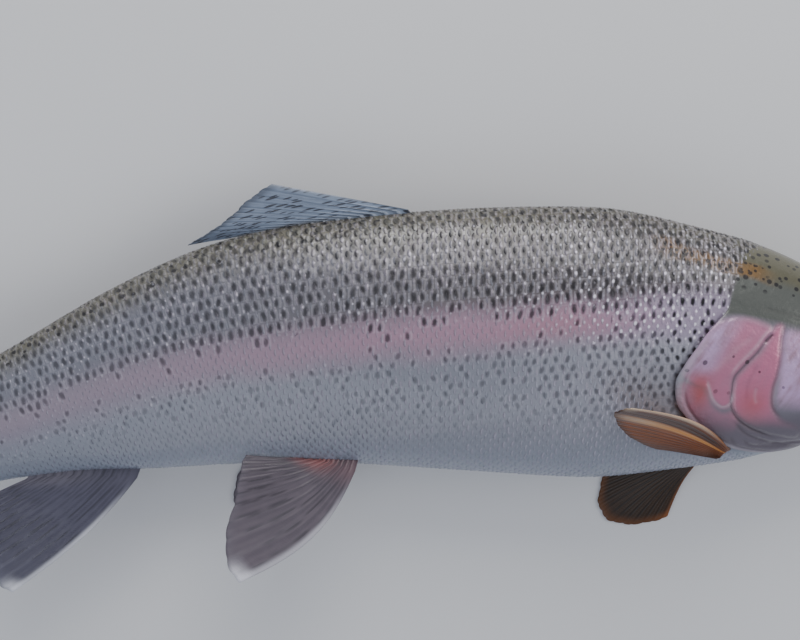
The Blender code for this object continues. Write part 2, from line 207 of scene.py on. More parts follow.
@dataclass(frozen=True)
class Form:
    """The lofted body: an outline at a few stations along a bent axis."""

    length: float = 0.375
    rest_height: float = 0.0232
    snout_rounding: float = 0.035
    tail_droop: float = 18.0
    head_droop: float = 9.0
    tail_lift: float = 10.0
    stem_end: float = 1.022  # the flesh tapers into the tail fin past the end of the stem
    axis_steps: int = 400
    middle_shares: tuple[float, ...] = (0.3504, 0.40, 0.45, 0.5196)  # from one end of the middle trunk solid on
    profile: tuple[tuple[float, ...], ...] = (
        (0.000, 0.028, 0.030, 0.026, 1.00, 1.00),
        (0.050, 0.050, 0.053, 0.037, 0.95, 0.95),
        (0.100, 0.073, 0.076, 0.046, 0.92, 0.95),
        (0.160, 0.094, 0.098, 0.056, 0.95, 0.95),
        (0.225, 0.109, 0.113, 0.062, 1.05, 0.95),
        (0.320, 0.123, 0.125, 0.066, 1.10, 0.92),
        (0.420, 0.121, 0.120, 0.065, 1.10, 0.92),
        (0.520, 0.114, 0.113, 0.060, 1.10, 0.95),
        (0.630, 0.104, 0.103, 0.050, 1.08, 1.00),
        (0.730, 0.083, 0.087, 0.037, 1.05, 1.00),
        (0.820, 0.062, 0.062, 0.026, 1.00, 1.00),
        (0.900, 0.049, 0.050, 0.018, 1.00, 1.00),
        (1.000, 0.056, 0.056, 0.009, 1.00, 1.00),
    )
    lateral_line: Path = (
        (0.0, 0.010), (0.2, 0.041), (0.32, 0.030), (0.45, 0.018), (0.57, 0.007), (0.70, 0.003), (0.85, -0.003),
        (1.03, 0.0),
    )

    def directions(self, share: Array) -> tuple[Array, Array, Array]:
        """Unit vectors towards the tail, the back and the right flank.

        Args:
            share: shares of the standard length.

        Returns:
            The three directions at each share.
        """
        share = np.asarray(share, float)
        droop = math.radians(self.tail_droop) * rise(share, 0.44, 0.82)
        droop = droop - math.radians(self.head_droop) * smoothstep((0.42 - share) / 0.42)
        lift = math.radians(self.tail_lift) * rise(share, 0.50, 0.94)
        cos_d, sin_d, cos_l, sin_l = np.cos(droop), np.sin(droop), np.cos(lift), np.sin(lift)
        tail = np.stack((-cos_l * cos_d, -cos_l * sin_d, sin_l), -1)
        back = np.stack((-sin_d, cos_d, 0 * share), -1)
        return tail, back, np.stack((sin_l * cos_d, sin_l * sin_d, cos_l), -1)

    @cached_property
    def line(self) -> Array:
        """Points of the axis at even steps, before it is set over the origin.

        Returns:
            The points, one to a row.
        """
        tangents = self.directions(np.linspace(0.0, 1.0, self.axis_steps + 1))[0]
        path = np.cumsum((tangents[1:] + tangents[:-1]) / 2, axis=0) * self.length / self.axis_steps
        return np.vstack((np.zeros(3), path)) + (0, 0, self.rest_height)

    @cached_property
    def shift(self) -> Array:
        """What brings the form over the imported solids, from the box of the middle of the trunk.

        Returns:
            The step from the form's own place to that of the solids.
        """
        share, angle = np.meshgrid(self.middle_shares, np.arange(0, 360, 10))
        points = self.place(share, *self.section(share, angle), shifted=False).reshape(-1, 3)
        low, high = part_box("trunk_middle")
        there, here = (np.array(low) + np.array(high)) / 2, (points.min(0) + points.max(0)) / 2
        return np.array((there[0] - here[0], there[1] - here[1], 0.0))

    def place(self, share: Array, height: Array, lateral: Array, shifted: bool = True) -> Array:
        """World points at heights above and distances to the right of the axis.

        Args:
            share: shares of the standard length.
            height: metres above the axis.
            lateral: metres to the right of it.
            shifted: whether the form is already set over the solids.

        Returns:
            The points.
        """
        share = np.asarray(share, float)
        inside = np.clip(share, 0.0, 1.0)
        tail, back, right = self.directions(share)
        steps = np.linspace(0.0, 1.0, self.axis_steps + 1)
        point = np.stack([np.interp(inside, steps, self.line[:, k]) for k in range(3)], -1)
        point = point + tail * ((share - inside) * self.length)[..., None]
        point = point + back * np.asarray(height)[..., None] + right * np.asarray(lateral)[..., None]
        return point + self.shift if shifted else point

    def station(self, share: Array) -> list[Array]:
        """Height above, depth below and half width in metres, and the two fullness exponents.

        Args:
            share: shares of the standard length.

        Returns:
            Five numbers for each share.
        """
        share = np.asarray(share, float)
        columns = list(zip(*self.profile))
        inside = np.clip(share, 0.0, 1.0)
        top, bottom, width, over, under = (smooth_through(inside, columns[0], c) for c in columns[1:])
        past = np.clip(share / self.snout_rounding, 0.0, 1.0)
        blunt = np.sqrt(1.0 - (1.0 - past) ** 2) * self.length
        thin = rise(share, 1.0, self.stem_end)
        flare = 1.0 + 1.2 * np.maximum(share - 1.0, 0.0)
        return [top * blunt * flare, bottom * blunt * flare, width * blunt * (1 - 0.72 * thin), over, under]

    def section(self, share: Array, angle: Array) -> tuple[Array, Array]:
        """Height and lateral place of the skin at section angles.

        Args:
            share: shares of the standard length.
            angle: section angles in degrees.

        Returns:
            Heights above the axis and distances to the right of it.
        """
        top, bottom, width, over, under = self.station(share)
        c, s = np.cos(np.radians(angle)), np.sin(np.radians(angle))
        height = np.where(c > 0, top, bottom) * c
        return height, width * np.sign(s) * np.abs(s) ** np.where(c > 0, over, under)

    def surface(self, share: Array, angle: Array) -> Array:
        """World points of the skin, before the floor presses it flat."""
        return self.place(share, *self.section(share, angle))

    def normal(self, share: Array, angle: Array) -> Array:
        """Unit vectors straight out of the skin.

        Args:
            share: shares of the standard length.
            angle: section angles in degrees.

        Returns:
            The vectors.
        """
        share = np.maximum(share, 0.0022)
        along = self.surface(share + 0.002, angle) - self.surface(share - 0.002, angle)
        around = self.surface(share, angle + 1.0) - self.surface(share, angle - 1.0)
        found = np.cross(along, around)
        found /= np.maximum(np.linalg.norm(found, axis=-1, keepdims=True), TINY)
        away = self.surface(share, angle) - self.place(share, 0 * share, 0 * share)
        return found * np.where((found * away).sum(-1, keepdims=True) < 0, -1.0, 1.0)

    @cached_property
    def girths(self) -> tuple[Array, Array, Array, Array]:
        """Tables over shares of the length.

        Returns:
            The skin's run from the back at each angle, its run from the lateral line up to the back and down
            to the belly, and the angle at each share of those runs.
        """
        shares = np.maximum(np.linspace(0.0, self.stem_end, 301), 0.001)
        angles = np.linspace(0.0, 180.0, 361)
        height, lateral = self.section(shares[:, None], angles[None, :])
        run = np.hypot(np.diff(height, axis=1), np.diff(lateral, axis=1)).cumsum(axis=1)
        run = np.hstack((np.zeros((len(shares), 1)), run))
        level = smooth_through(shares, *zip(*self.lateral_line)) * self.length
        up = np.array([np.interp(-level[i], -height[i], run[i]) for i in range(len(shares))])
        down = run[:, -1] - up
        q = np.linspace(-1.0, 1.0, 241)
        sought = up[:, None] - q * np.where(q > 0, up[:, None], down[:, None])
        return run, up, down, np.array([np.interp(sought[i], run[i], angles) for i in range(len(shares))])

    def runs(self, share: Array) -> tuple[Array, Array]:
        """The skin's run from the lateral line up to the back, and down to the belly.

        Args:
            share: shares of the standard length.

        Returns:
            The run up and the run down, at each share.
        """
        _, up, down, _ = self.girths
        steps = np.linspace(0.0, self.stem_end, len(up))
        return np.interp(share, steps, up), np.interp(share, steps, down)

    def angle_at(self, share: Array, girth: Array) -> Array:
        """The right flank's section angle at a run above the lateral line, which may cross the midlines.

        Args:
            share: shares of the standard length.
            girth: metres along the skin above the lateral line.

        Returns:
            The angles in degrees.
        """
        up, down = self.runs(share)
        q = girth / np.maximum(np.where(girth > 0, up, down), TINY)
        folded = np.where(q > 1, 2 - q, np.where(q < -1, -2 - q, q))
        angle = look_up(self.girths[3], share / self.stem_end, folded / 2 + 0.5)
        return np.where(q > 1, -angle, np.where(q < -1, 360 - angle, angle))

    def girth_at(self, share: Array, angle: Array) -> tuple[Array, Array]:
        """Run above the lateral line, and its share of the way to the back, 1, or the belly, -1.

        Args:
            share: shares of the standard length.
            angle: section angles in degrees.

        Returns:
            The runs in metres, and their shares.
        """
        up, down = self.runs(share)
        folded = np.abs((np.asarray(angle) + 180.0) % 360.0 - 180.0)
        girth = up - look_up(self.girths[0], share / self.stem_end, folded / 180.0)
        return girth, np.where(girth > 0, girth / up, girth / down)


FORM = Form()


def bake_place(share: Array, angle: Array) -> tuple[Array, Array]:
    """Places on the bake map, where the body is slit along the back and laid flat."""
    return 0.01 + 0.98 * share / FORM.stem_end, (angle % 360) / 360


@dataclass(frozen=True)
class Lattice:
    """The rows that scales grow in, laid out flat: rows run along the body and shrink with the scales."""

    pitch: float = 0.0030
    row: float = 0.0020
    tail_size: float = 0.72

    def size(self, share: Array) -> Array:
        """Size of a scale against the biggest."""
        return 1.0 - (1.0 - self.tail_size) * rise(share, 0.50, 1.0) - 0.10 * rise(share, 0.24, 0.16)

    @cached_property
    def flat(self) -> tuple[Array, Array]:
        """Shares of the length, and how far along the flat lattice they are."""
        shares = np.linspace(0.0, 1.03, 800)
        return shares, np.concatenate(([0.0], np.cumsum(FORM.length * np.diff(shares) / self.size(shares)[1:])))

    def flatten(self, share: Array, girth: Array) -> tuple[Array, Array]:
        """Flat places of shares and girths."""
        return np.interp(share, *self.flat), girth / self.size(share)

    def unflatten(self, x: Array, g: Array) -> tuple[Array, Array]:
        """Shares and girths of flat places."""
        share = np.interp(x, self.flat[1], self.flat[0])
        return share, g * self.size(share)


LATTICE = Lattice()


# Meshes


def grid_faces(rows: int, columns: int, start: int = 0, around: bool = False) -> list[tuple[int, ...]]:
    """Four-sided faces of a grid of points, joined across its last column where it goes around.

    Args:
        rows: rows of points.
        columns: points in a row.
        start: number of the grid's first point.
        around: whether the last column joins the first.

    Returns:
        The faces, each as the numbers of its points.
    """
    i, j = np.meshgrid(np.arange(rows - 1), np.arange(columns if around else columns - 1), indexing="ij")
    a, k = i * columns, (j + 1) % columns
    return (np.stack((a + j, a + k, a + columns + k, a + columns + j), -1).reshape(-1, 4) + start).tolist()


@dataclass
class Shape:
    """Points, faces and what the finish reads from them, ready to be made a piece."""

    points: Array
    faces: list[tuple[int, ...]]
    maps: dict[str, Array] = field(default_factory=dict)
    vectors: dict[str, Array] = field(default_factory=dict)
    wrapped: tuple[str, ...] = ()

    def volume(self) -> float:
        """Signed volume, positive where the faces point outwards.

        Returns:
            The volume in cubic metres.
        """
        total = 0.0
        p = self.points
        for count in {len(face) for face in self.faces}:
            f = np.array([face for face in self.faces if len(face) == count])
            for k in range(1, count - 1):
                total += (p[f[:, 0]] * np.cross(p[f[:, k]], p[f[:, k + 1]])).sum()
        return total / 6

    def outward(self) -> "Shape":
        """The shape with its faces pointing outwards.

        Returns:
            The shape itself.
        """
        if self.volume() < 0:
            self.faces = [tuple(face[::-1]) for face in self.faces]
        return self

    def piece(self, name: str, finish: bpy.types.Material) -> bpy.types.Object:
        """The shape as an object.

        Args:
            name: the piece's name.
            finish: its material.

        Returns:
            The object, at the origin and shaded smooth.
        """
        mesh = bpy.data.meshes.new(name)
        mesh.from_pydata(self.points.tolist(), [], self.faces)
        corners = np.zeros(len(mesh.loops), int)
        mesh.loops.foreach_get("vertex_index", corners)
        starts = np.zeros(len(mesh.polygons), int)
        counts = np.zeros(len(mesh.polygons), int)
        mesh.polygons.foreach_get("loop_start", starts)
        mesh.polygons.foreach_get("loop_total", counts)
        for title, values in self.maps.items():
            laid = values[corners].copy()
            if title in self.wrapped:
                owner = np.repeat(np.arange(len(counts)), counts)
                top = np.maximum.reduceat(laid[:, 1], starts)[owner]
                laid[:, 1] += np.where(top - laid[:, 1] > 0.5, 1.0, 0.0)
            mesh.uv_layers.new(name=title).data.foreach_set("uv", laid.astype(np.float32).ravel())
        for title, values in self.vectors.items():
            layer = mesh.attributes.new(title, "FLOAT_VECTOR", "POINT")
            layer.data.foreach_set("vector", values.astype(np.float32).ravel())
        mesh.shade_smooth()
        mesh.materials.append(finish)
        made = bpy.data.objects.new(name, mesh)
        bpy.context.scene.collection.objects.link(made)
        return made


def settle(piece: bpy.types.Object, slot: str, *nodes: str) -> None:
    """Fastens a finished piece to the fish, in place of the solids it stands for.

    Args:
        piece: the finished piece.
        slot: the record's slot for its finish; not used.
        nodes: the solids that it replaces.
    """
    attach(piece, "root")
    if nodes:
        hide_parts(*nodes)
    LOG.info("%s: %d faces", piece.name, len(piece.data.polygons))


# Finishes


def srgb(red: int, green: int, blue: int) -> Colour:
    """A colour from its 0 to 255 values.

    Args:
        red: 0 to 255.
        green: 0 to 255.
        blue: 0 to 255.

    Returns:
        The colour in linear light, opaque.
    """

    def linear(v: float) -> float:
        """One channel made linear."""
        v /= 255
        return v / 12.92 if v <= 0.04045 else ((v + 0.055) / 1.055) ** 2.4

    return linear(red), linear(green), linear(blue), 1.0


class Wire:
    """A node's output on which sums are written as plain expressions."""

    def __init__(self, sheet: "Sheet", socket: bpy.types.NodeSocket) -> None:
        """Keeps the output and the sheet that it is on."""
        self.sheet, self.socket = sheet, socket

    def _do(self, operation: str, *values: Any) -> "Wire":
        """A Math node on values."""
        return self.sheet.add("ShaderNodeMath", {"operation": operation}, dict(enumerate(values)))

    def __add__(self, other: Any) -> "Wire":
        """Sum."""
        return self._do("ADD", self, other)

    __radd__ = __add__

    def __sub__(self, other: Any) -> "Wire":
        """Difference."""
        return self._do("SUBTRACT", self, other)

    def __rsub__(self, other: Any) -> "Wire":
        """Difference from a number."""
        return self._do("SUBTRACT", other, self)

    def __mul__(self, other: Any) -> "Wire":
        """Product."""
        return self._do("MULTIPLY", self, other)

    __rmul__ = __mul__

    def __truediv__(self, other: Any) -> "Wire":
        """Quotient."""
        return self._do("DIVIDE", self, other)

    def __pow__(self, other: Any) -> "Wire":
        """Power."""
        return self._do("POWER", self, other)

    def __abs__(self) -> "Wire":
        """Size without sign."""
        return self._do("ABSOLUTE", self)

    def below(self, other: Any) -> "Wire":
        """1 where this is less than other."""
        return self._do("LESS_THAN", self, other)

    def most(self, other: Any) -> "Wire":
        """The greater of this and other."""
        return self._do("MAXIMUM", self, other)

    def whole(self) -> "Wire":
        """The nearest whole number."""
        return self._do("ROUND", self)

    def remainder(self, other: Any) -> "Wire":
        """What is left of this after whole steps of other."""
        return self._do("FLOORED_MODULO", self, other)

    def root(self) -> "Wire":
        """Square root."""
        return self._do("SQRT", self)

    def rise(self, start: Any, end: Any, to: float = 1.0) -> "Wire":
        """A smooth turn from 0 at start to 1, or another height, at end."""
        values = {0: self, 1: start, 2: end, 3: 0.0, 4: to}
        return self.sheet.add("ShaderNodeMapRange", {"interpolation_type": "SMOOTHSTEP"}, values)


class Sheet:
    """The node tree of one material."""

    def __init__(self, name: str) -> None:
        """Starts a material with only its shader.

        Args:
            name: the material's name.
        """
        self.material = bpy.data.materials.new(name)
        self.material.use_nodes = True
        self.nodes = self.material.node_tree.nodes
        self.links = self.material.node_tree.links
        self.shader = self.nodes["Principled BSDF"]

    def _feed(self, socket: bpy.types.NodeSocket, value: Any) -> None:
        """Links or sets one input.

        Args:
            socket: the input.
            value: a wire, or what it is set to.
        """
        if isinstance(value, Wire):
            self.links.new(value.socket, socket)
        else:
            socket.default_value = value

    def add(self, kind: str, settings: dict[str, Any], values: dict[Any, Any], output: Any = 0) -> Wire:
        """Adds a node.

        Args:
            kind: the node's type.
            settings: its properties.
            values: numbers or wires for its inputs, by place or name.
            output: the place or name of the output wanted.

        Returns:
            That output.
        """
        node = self.nodes.new(kind)
        for key, value in settings.items():
            setattr(node, key, value)
        for key, value in values.items():
            self._feed(node.inputs[key], value)
        return Wire(self, node.outputs[output])

    def blend(self, share: Any, first: Any, last: Any) -> Wire:
        """A colour a share of the way from first to last."""
        return self.add("ShaderNodeMix", {"data_type": "RGBA"}, {0: share, 6: first, 7: last}, 2)

    def paint(self, colour: Any, *coats: tuple[Any, Any]) -> Wire:
        """A colour with others laid over it in turn, each by its share.

        Args:
            colour: the ground.
            coats: a share and a colour for each.

        Returns:
            The colour over all of them.
        """
        for share, coat in coats:
            colour = self.blend(share, colour, coat)
        return colour

    def tint(self, share: Any, first: Any, last: Any) -> Wire:
        """A colour multiplied by another, by a share."""
        settings = {"data_type": "RGBA", "blend_type": "MULTIPLY"}
        return self.add("ShaderNodeMix", settings, {0: share, 6: first, 7: last}, 2)

    def attribute(self, name: str) -> tuple[Wire, Wire, Wire]:
        """The three numbers of one of the piece's attributes."""
        return self.split(self.add("ShaderNodeAttribute", {"attribute_name": name}, {}, "Vector"))

    def split(self, vector: Wire) -> tuple[Wire, Wire, Wire]:
        """The three numbers of a vector."""
        node = self.add("ShaderNodeSeparateXYZ", {}, {0: vector}).socket.node
        return tuple(Wire(self, output) for output in node.outputs)

    def join(self, x: Any, y: Any, z: Any = 0.0) -> Wire:
        """A vector from three numbers."""
        return self.add("ShaderNodeCombineXYZ", {}, {0: x, 1: y, 2: z})

    def flat_map(self, name: str) -> Wire:
        """One of the piece's UV maps."""
        return self.add("ShaderNodeUVMap", {"uv_map": name}, {})

    def place(self) -> Wire:
        """Object coordinates."""
        return self.add("ShaderNodeTexCoord", {}, {}, "Object")

    def noise(self, vector: Wire, scale: float, detail: float = 2.0) -> Wire:
        """Soft noise around one half."""
        return self.add("ShaderNodeTexNoise", {}, {"Vector": vector, "Scale": scale, "Detail": detail})

    def dice(self, vector: Wire) -> tuple[Wire, Wire, Wire]:
        """Three even random numbers for each whole place."""
        return self.split(self.add("ShaderNodeTexWhiteNoise", {"noise_dimensions": "3D"}, {"Vector": vector}, "Color"))

    def speckles(self, vector: Wire, scale: float, keep: float, radius: float) -> Wire:
        """Round spots of uneven size.

        Args:
            vector: where the spots lie.
            scale: spots along one unit.
            keep: share of the places that hold a spot.
            radius: a spot's radius, in spacings.

        Returns:
            1 in the spots.
        """
        cell = {"Vector": vector, "Scale": scale, "Randomness": 0.8}
        near = self.add("ShaderNodeTexVoronoi", {"voronoi_dimensions": "2D"}, cell, "Distance")
        luck, size, _ = self.split(self.add("ShaderNodeTexVoronoi", {"voronoi_dimensions": "2D"}, cell, "Color"))
        reach = (size * 0.6 + 0.55) * radius
        return (1 - near.rise(reach * 0.7, reach * 1.15)) * luck.below(keep)

    def finish(self, wires: dict[str, Any], bump: Wire | None = None, depth: float = 0.0001) -> bpy.types.Material:
        """Feeds the shader.

        Args:
            wires: numbers, colours or wires by the shader's input names.
            bump: height of fine relief.
            depth: how high its relief of 1 stands.

        Returns:
            The finished material.
        """
        for name, value in wires.items():
            self._feed(self.shader.inputs[name], value)
        if bump:
            raised = self.add("ShaderNodeBump", {}, {"Height": bump, "Distance": depth, "Strength": 1.0})
            self.links.new(raised.socket, self.shader.inputs["Normal"])
        return self.material


class Lie:
    """Where places lie on the fish and how the skin varies there, as wires that the markings share."""

    def __init__(self, s: Sheet, scaled: bool) -> None:
        """Reads the piece's maps and attributes.

        Args:
            s: the sheet that the markings are drawn on.
            scaled: whether it is for the scales rather than the skin.
        """
        self.sheet, self.scaled, self.bare = s, scaled, 0.0
        self.share, girth, self.q = s.attribute("lie")
        self.fx, self.fy, _ = s.split(s.flat_map("Flow"))
        if scaled:
            cx, cy, _ = s.split(s.flat_map("Cell"))
        else:
            cy = self.fy.whole()
            shift = cy.remainder(2.0) * 0.5
            cx = (self.fx - shift).whole() + shift
            # relief: the painted shade of the head's grooves and gill slit, its paleness of painted highlights and
            # pale lines, and whether the skin is bare
            self.dark, self.pale, self.bare = s.attribute("relief")
            self.rose, self.lilac, self.salmon = s.attribute("cheek")
        self.dx, self.dy = self.fx - cx - 0.16, self.fy - cy
        self.luck, self.tone, self.hue = s.dice(s.join((cx * 2).whole(), cy.whole()))
        # Unevenness
        self.place = s.place()
        self.drift = s.noise(self.place, 55.0) - 0.5
        self.blot = s.noise(self.place, 620.0, 2.0) - 0.5
        self.mottle = s.noise(self.place, 160.0, 4.0)
        self.fine = s.noise(self.place, 900.0)
        x, y, _ = s.split(self.place)
        self.streak = s.noise(s.join(x * 0.82 - y * 0.57, (x * 0.57 + y * 0.82) * 0.22), 420.0, 3.0)
        self.level, self.wavy = girth + self.drift * 6.0, self.q + self.drift * 0.2
        # Stretches of the body, and the parts that have a colour of their own
        self.front = 1 - self.share.rise(0.36, 0.85)
        self.near = 1 - self.share.rise(0.28, 0.44)
        self.fade = 1 - self.share.rise(0.250, 0.350)
        self.shoulder = 1 - self.share.rise(0.235, 0.285)
        band = (1 - abs(self.level).rise(0.0, 12.5)) * (self.front * 0.45 + 0.25)
        self.band = band * (1 - self.shoulder * 0.35 - self.fade * 0.40)
        self.top = self.wavy.rise(0.52, 0.90)
        self.shiny = (1 - self.top) * self.q.rise(-0.9, -0.3)
        gilt = 1 - abs(self.wavy - 0.48 - self.share.rise(0.20, 0.27, 0.14)).rise(0.05, 0.13)
        self.gilt = gilt * (1 - self.share.rise(0.250, 0.275)) * self.share.rise(0.155, 0.185)
        behind = (self.share + self.q * 0.046 - 0.208 + self.drift * 0.02).rise(0.0, 0.030)
        self.hood = (1 - behind) * self.wavy.rise(0.35, 0.60)


@dataclass(frozen=True)
class Markings:
    """The trout's colours, the same on its skin and on its scales, with painted glints and painted shade among them.
    """

    back: Colour = srgb(96, 92, 72)
    gold: Colour = srgb(118, 86, 44)
    # dusk: the rear lower flank darker and bluer, partly painted shade of the water
    dusk: Colour = srgb(104, 113, 130)
    upper: Colour = srgb(98, 94, 97)
    rear: Colour = srgb(124, 126, 138)
    band: Colour = srgb(184, 134, 158)
    # lower and belly: grey-blue, partly painted shade, where a trout's lower flank and belly are whiter and more
    # silvery
    lower: Colour = srgb(134, 137, 149)
    belly: Colour = srgb(146, 154, 170)
    nape: Colour = srgb(87, 90, 86)
    rose: Colour = srgb(200, 121, 152)
    lilac: Colour = srgb(206, 176, 222)
    salmon: Colour = srgb(184, 90, 88)
    # throat: grey where a trout's throat is whitish, a painted shade
    throat: Colour = srgb(104, 98, 110)
    spot: Colour = srgb(22, 20, 26)
    # White of the painted glints and rim highlights, and also of the pale rings, the paler lower front and the head's
    # pale lines
    glint: Colour = srgb(236, 232, 246)
    # Painted shade for the grooves, pits, gape and gill slit of the head
    painted_groove_shade: Colour = srgb(44, 26, 34)

    def bands(self, at: "Lie") -> Wire:
        """The colours from the belly up to the back.

        Args:
            at: where the places lie.

        Returns:
            The ground colour.
        """
        s, share, level, q = at.sheet, at.share, at.level, at.q
        blush = (1 - abs(level + 1).rise(0.0, 7.0)) * (1 - abs(share - 0.335).rise(0.01, 0.10))
        return s.paint(
            s.blend(q.rise(-0.98, -0.50), self.belly, self.lower),
            (level.rise(1.0, 11.0), s.blend(at.front, self.rear, self.upper)),
            (at.band, self.band),
            (blush * 0.10, self.salmon),
            (at.fade * level.rise(-12.0, -4.0) * (1 - level.rise(3.0, 12.0)) * 0.22, self.lilac),
            (at.top * 0.85, self.back),
            # Partly painted water shade: the rear lower flank darker and bluer
            (share.rise(0.60, 0.95) * (1 - q.rise(-0.35, 0.15)) * 0.6, self.dusk),
        )

    def smooth_parts(self, at: "Lie", colour: Wire) -> Wire:
        """The nape, throat and cheek, which have no scales, and the gold streak behind the head.

        Args:
            at: where the places lie.
            colour: what they are laid over.

        Returns:
            The colour with them.
        """
        s, bare, mottle, streak = at.sheet, at.bare, at.mottle, at.streak
        colour = s.paint(colour, (at.hood * 0.7, self.nape), (at.hood * 0.5, self.back))
        if not at.scaled:
            crown = bare * (at.q + at.drift * 0.10).rise(-0.10, 0.02)
            colour = s.paint(
                colour,
                (crown, self.nape),
                (crown * at.wavy.rise(0.36, 0.52) * 0.8, self.back),
                # Painted shade: the throat greyed
                (bare * (1 - at.q.rise(-0.62, -0.38)), self.throat),
                (at.rose * (0.62 + mottle * 0.3 + streak * 0.4), self.rose),
                (at.lilac * (mottle * 0.4 + streak * 0.6).rise(0.30, 0.62), self.lilac),
                (at.salmon * (0.6 + streak * 0.5), self.salmon),
            )
        return s.blend(at.gilt * (0.35 + mottle).most(0.0) * 0.95, colour, self.gold)

    def dark_marks(self, at: "Lie", colour: Wire) -> tuple[Wire, Wire]:
        """The soft dark marks, thickest above the band, each with a paler ring.

        Args:
            at: where the places lie.
            colour: what they are laid over.

        Returns:
            The colour with them, and 1 in the marks.
        """
        s, level, near, front, shoulder, scales = at.sheet, at.level, at.near, at.front, at.shoulder, 1 - at.bare
        colour = s.tint(near * level.rise(2.0, 10.0) * scales * 0.9, colour, (0.74, 0.73, 0.72, 1))
        pale = near * (1 - level.rise(-12.0, -3.0)) * at.q.rise(-0.7, -0.4) * scales * 0.14
        colour = s.blend(pale, colour, self.glint)
        # Their own staggered rows, wider apart than the scales and widest above the band
        flank = (at.fy / LEFT_ROWS).whole() * LEFT_ROWS
        high = (at.fy - flank).most(0.0)
        mx, my = at.fx / 1.16, high / 2.1 + (at.fy - flank - high) / 1.5
        row = my.whole()
        off = row.remainder(2.0) * 0.5
        column = (mx - off).whole() + off
        picked, lean, wide = s.dice(s.join((column * 2).whole(), row + flank + 71.0))
        mx, my = mx - column, my - row
        inside = (1 - abs(mx).rise(0.40, 0.50)) * (1 - abs(my).rise(0.38, 0.50))
        around = level - my * 3.6
        mx, my = mx + (wide - 0.5) * 0.28, my + (lean - 0.5) * 0.22
        far = ((mx + my * (lean - 0.5) * 0.5) / (0.29 - front * 0.05)) ** 2.0 + (my / 0.46) ** 2.0
        far = far.root() / (0.80 + wide * 0.32 - shoulder * 0.12) + at.blot * 0.8
        chance = around.rise(1.0, 7.0, 0.82) + (1 - around.rise(-9.0, -4.0)) * 0.40 + 0.10
        chance = picked.below(chance + at.fade * 0.45 + near * 0.3) * at.q.rise(-0.66, -0.30) * inside * scales
        dot = chance * (1 - far.rise(0.35, 1.35))
        depth = 0.50 + front * 0.22 + shoulder * 0.16 + (picked * 7.0).remainder(1.0) * 0.18
        depth = depth * (0.55 + near * 0.18 + (level + shoulder * 12.0).rise(-12.0, 1.0, 0.45 - near * 0.18))
        ring = chance * (1 - abs(far - 1.8).rise(0.0, 1.0)) * depth * 0.20
        return s.paint(colour, (ring, self.glint), (dot * depth, self.spot)), dot

    def round_spots(self, at: "Lie") -> Wire:
        """1 in the round spots of the back, the nape and the head.

        Args:
            at: where the places lie.

        Returns:
            0 beside the spots.
        """
        s, q = at.sheet, at.q
        laid = s.join(at.fx * LATTICE.pitch * 1000, at.fy * LATTICE.row * 1000)
        crowned = (q + at.drift * 0.1).rise(0.22, 0.34) * (1 - at.share.rise(0.18, 0.25)) + q.rise(0.62, 0.80)
        spots = s.speckles(laid, 0.26, 0.62, 0.25) * crowned.rise(0.2, 0.9)
        spots = spots.most(s.speckles(laid, 0.42, 0.75, 0.34) * at.gilt.rise(0.2, 0.7))
        if at.scaled:
            return spots
        return spots.most(s.speckles(laid, 0.20, 0.14, 0.17) * q.rise(-0.5, -0.3) * at.bare * 0.8)

    def painted_glint(self, at: "Lie", dot: Wire) -> Wire:
        """How brightly each scale's painted glint shows, a highlight drawn into its colour.

        Args:
            at: where the places lie.
            dot: 1 in the dark marks, which don't glint.

        Returns:
            0 where there is no glint, towards 1 in the brightest.
        """
        s, level, near, luck, tone, hue = at.sheet, at.level, at.near, at.luck, at.tone, at.hue
        along = (at.dx - 0.27 + (hue - 0.5) * 0.18) / 0.19
        across = (at.dy + 0.24 - (luck * 3.0).remainder(1.0) * 0.66) / 0.37
        painted_glint = 1 - ((along ** 2.0 + across ** 2.0).root() / (0.70 + tone * 0.55) + at.blot * 0.9).rise(0.20, 1.15)
        quiet = (1 - abs(level + 1.0).rise(3.0, 10.0)) * at.share.rise(0.30, 0.39)
        patch = s.noise(at.place, 75.0).rise(0.36, 0.62, 0.75)
        spark = (luck * 11.0).remainder(1.0).rise(0.10 - near * 0.40, 0.95 - near * 0.35)
        spark = spark * (0.45 + patch) * (1 - quiet * 0.8) * (1 - dot * 0.9) * (1 + at.band * near * 0.8)
        painted_glint = painted_glint * spark * level.rise(-16.0, -2.0) * (0.30 + at.shiny * 0.70) * (1 - at.gilt)
        painted_glint = painted_glint * (0.50 + at.front * 0.25 + near * 0.25 + at.shoulder * 0.25)
        return painted_glint * (1 - at.bare) * (1 - at.hood * 0.8)

    def material(self, name: str, scaled: bool) -> bpy.types.Material:
        """The wet, silvery finish.

        Args:
            name: the material's name.
            scaled: whether it is for the scales rather than the skin.

        Returns:
            The material.
        """
        s = Sheet(name)
        at = Lie(s, scaled)
        shiny, tone, hue, dx = at.shiny, at.tone, at.hue, at.dx
        colour, dot = self.dark_marks(at, self.smooth_parts(at, self.bands(at)))
        spots = self.round_spots(at)
        colour = s.blend(spots * 0.85, colour, self.spot)
        # Painted glints: bright highlights drawn into the colour of the scales and of the skin beside them
        painted_glint = self.painted_glint(at, dot)
        painted_glint_colour = s.blend(at.band * 0.10, self.glint, self.band)
        if scaled:
            rim, grown, _ = s.attribute("rim")
            # Painted highlight along the rim of each scale
            net = rim.rise(0.45, 0.95) * (1 - spots * 0.6)
            painted_rim_highlight = net * (0.10 + tone * 0.35) * (0.35 + shiny * 0.65) * (1 - dot * 0.85)
            colour = s.blend(painted_rim_highlight.most(painted_glint), colour, painted_glint_colour)
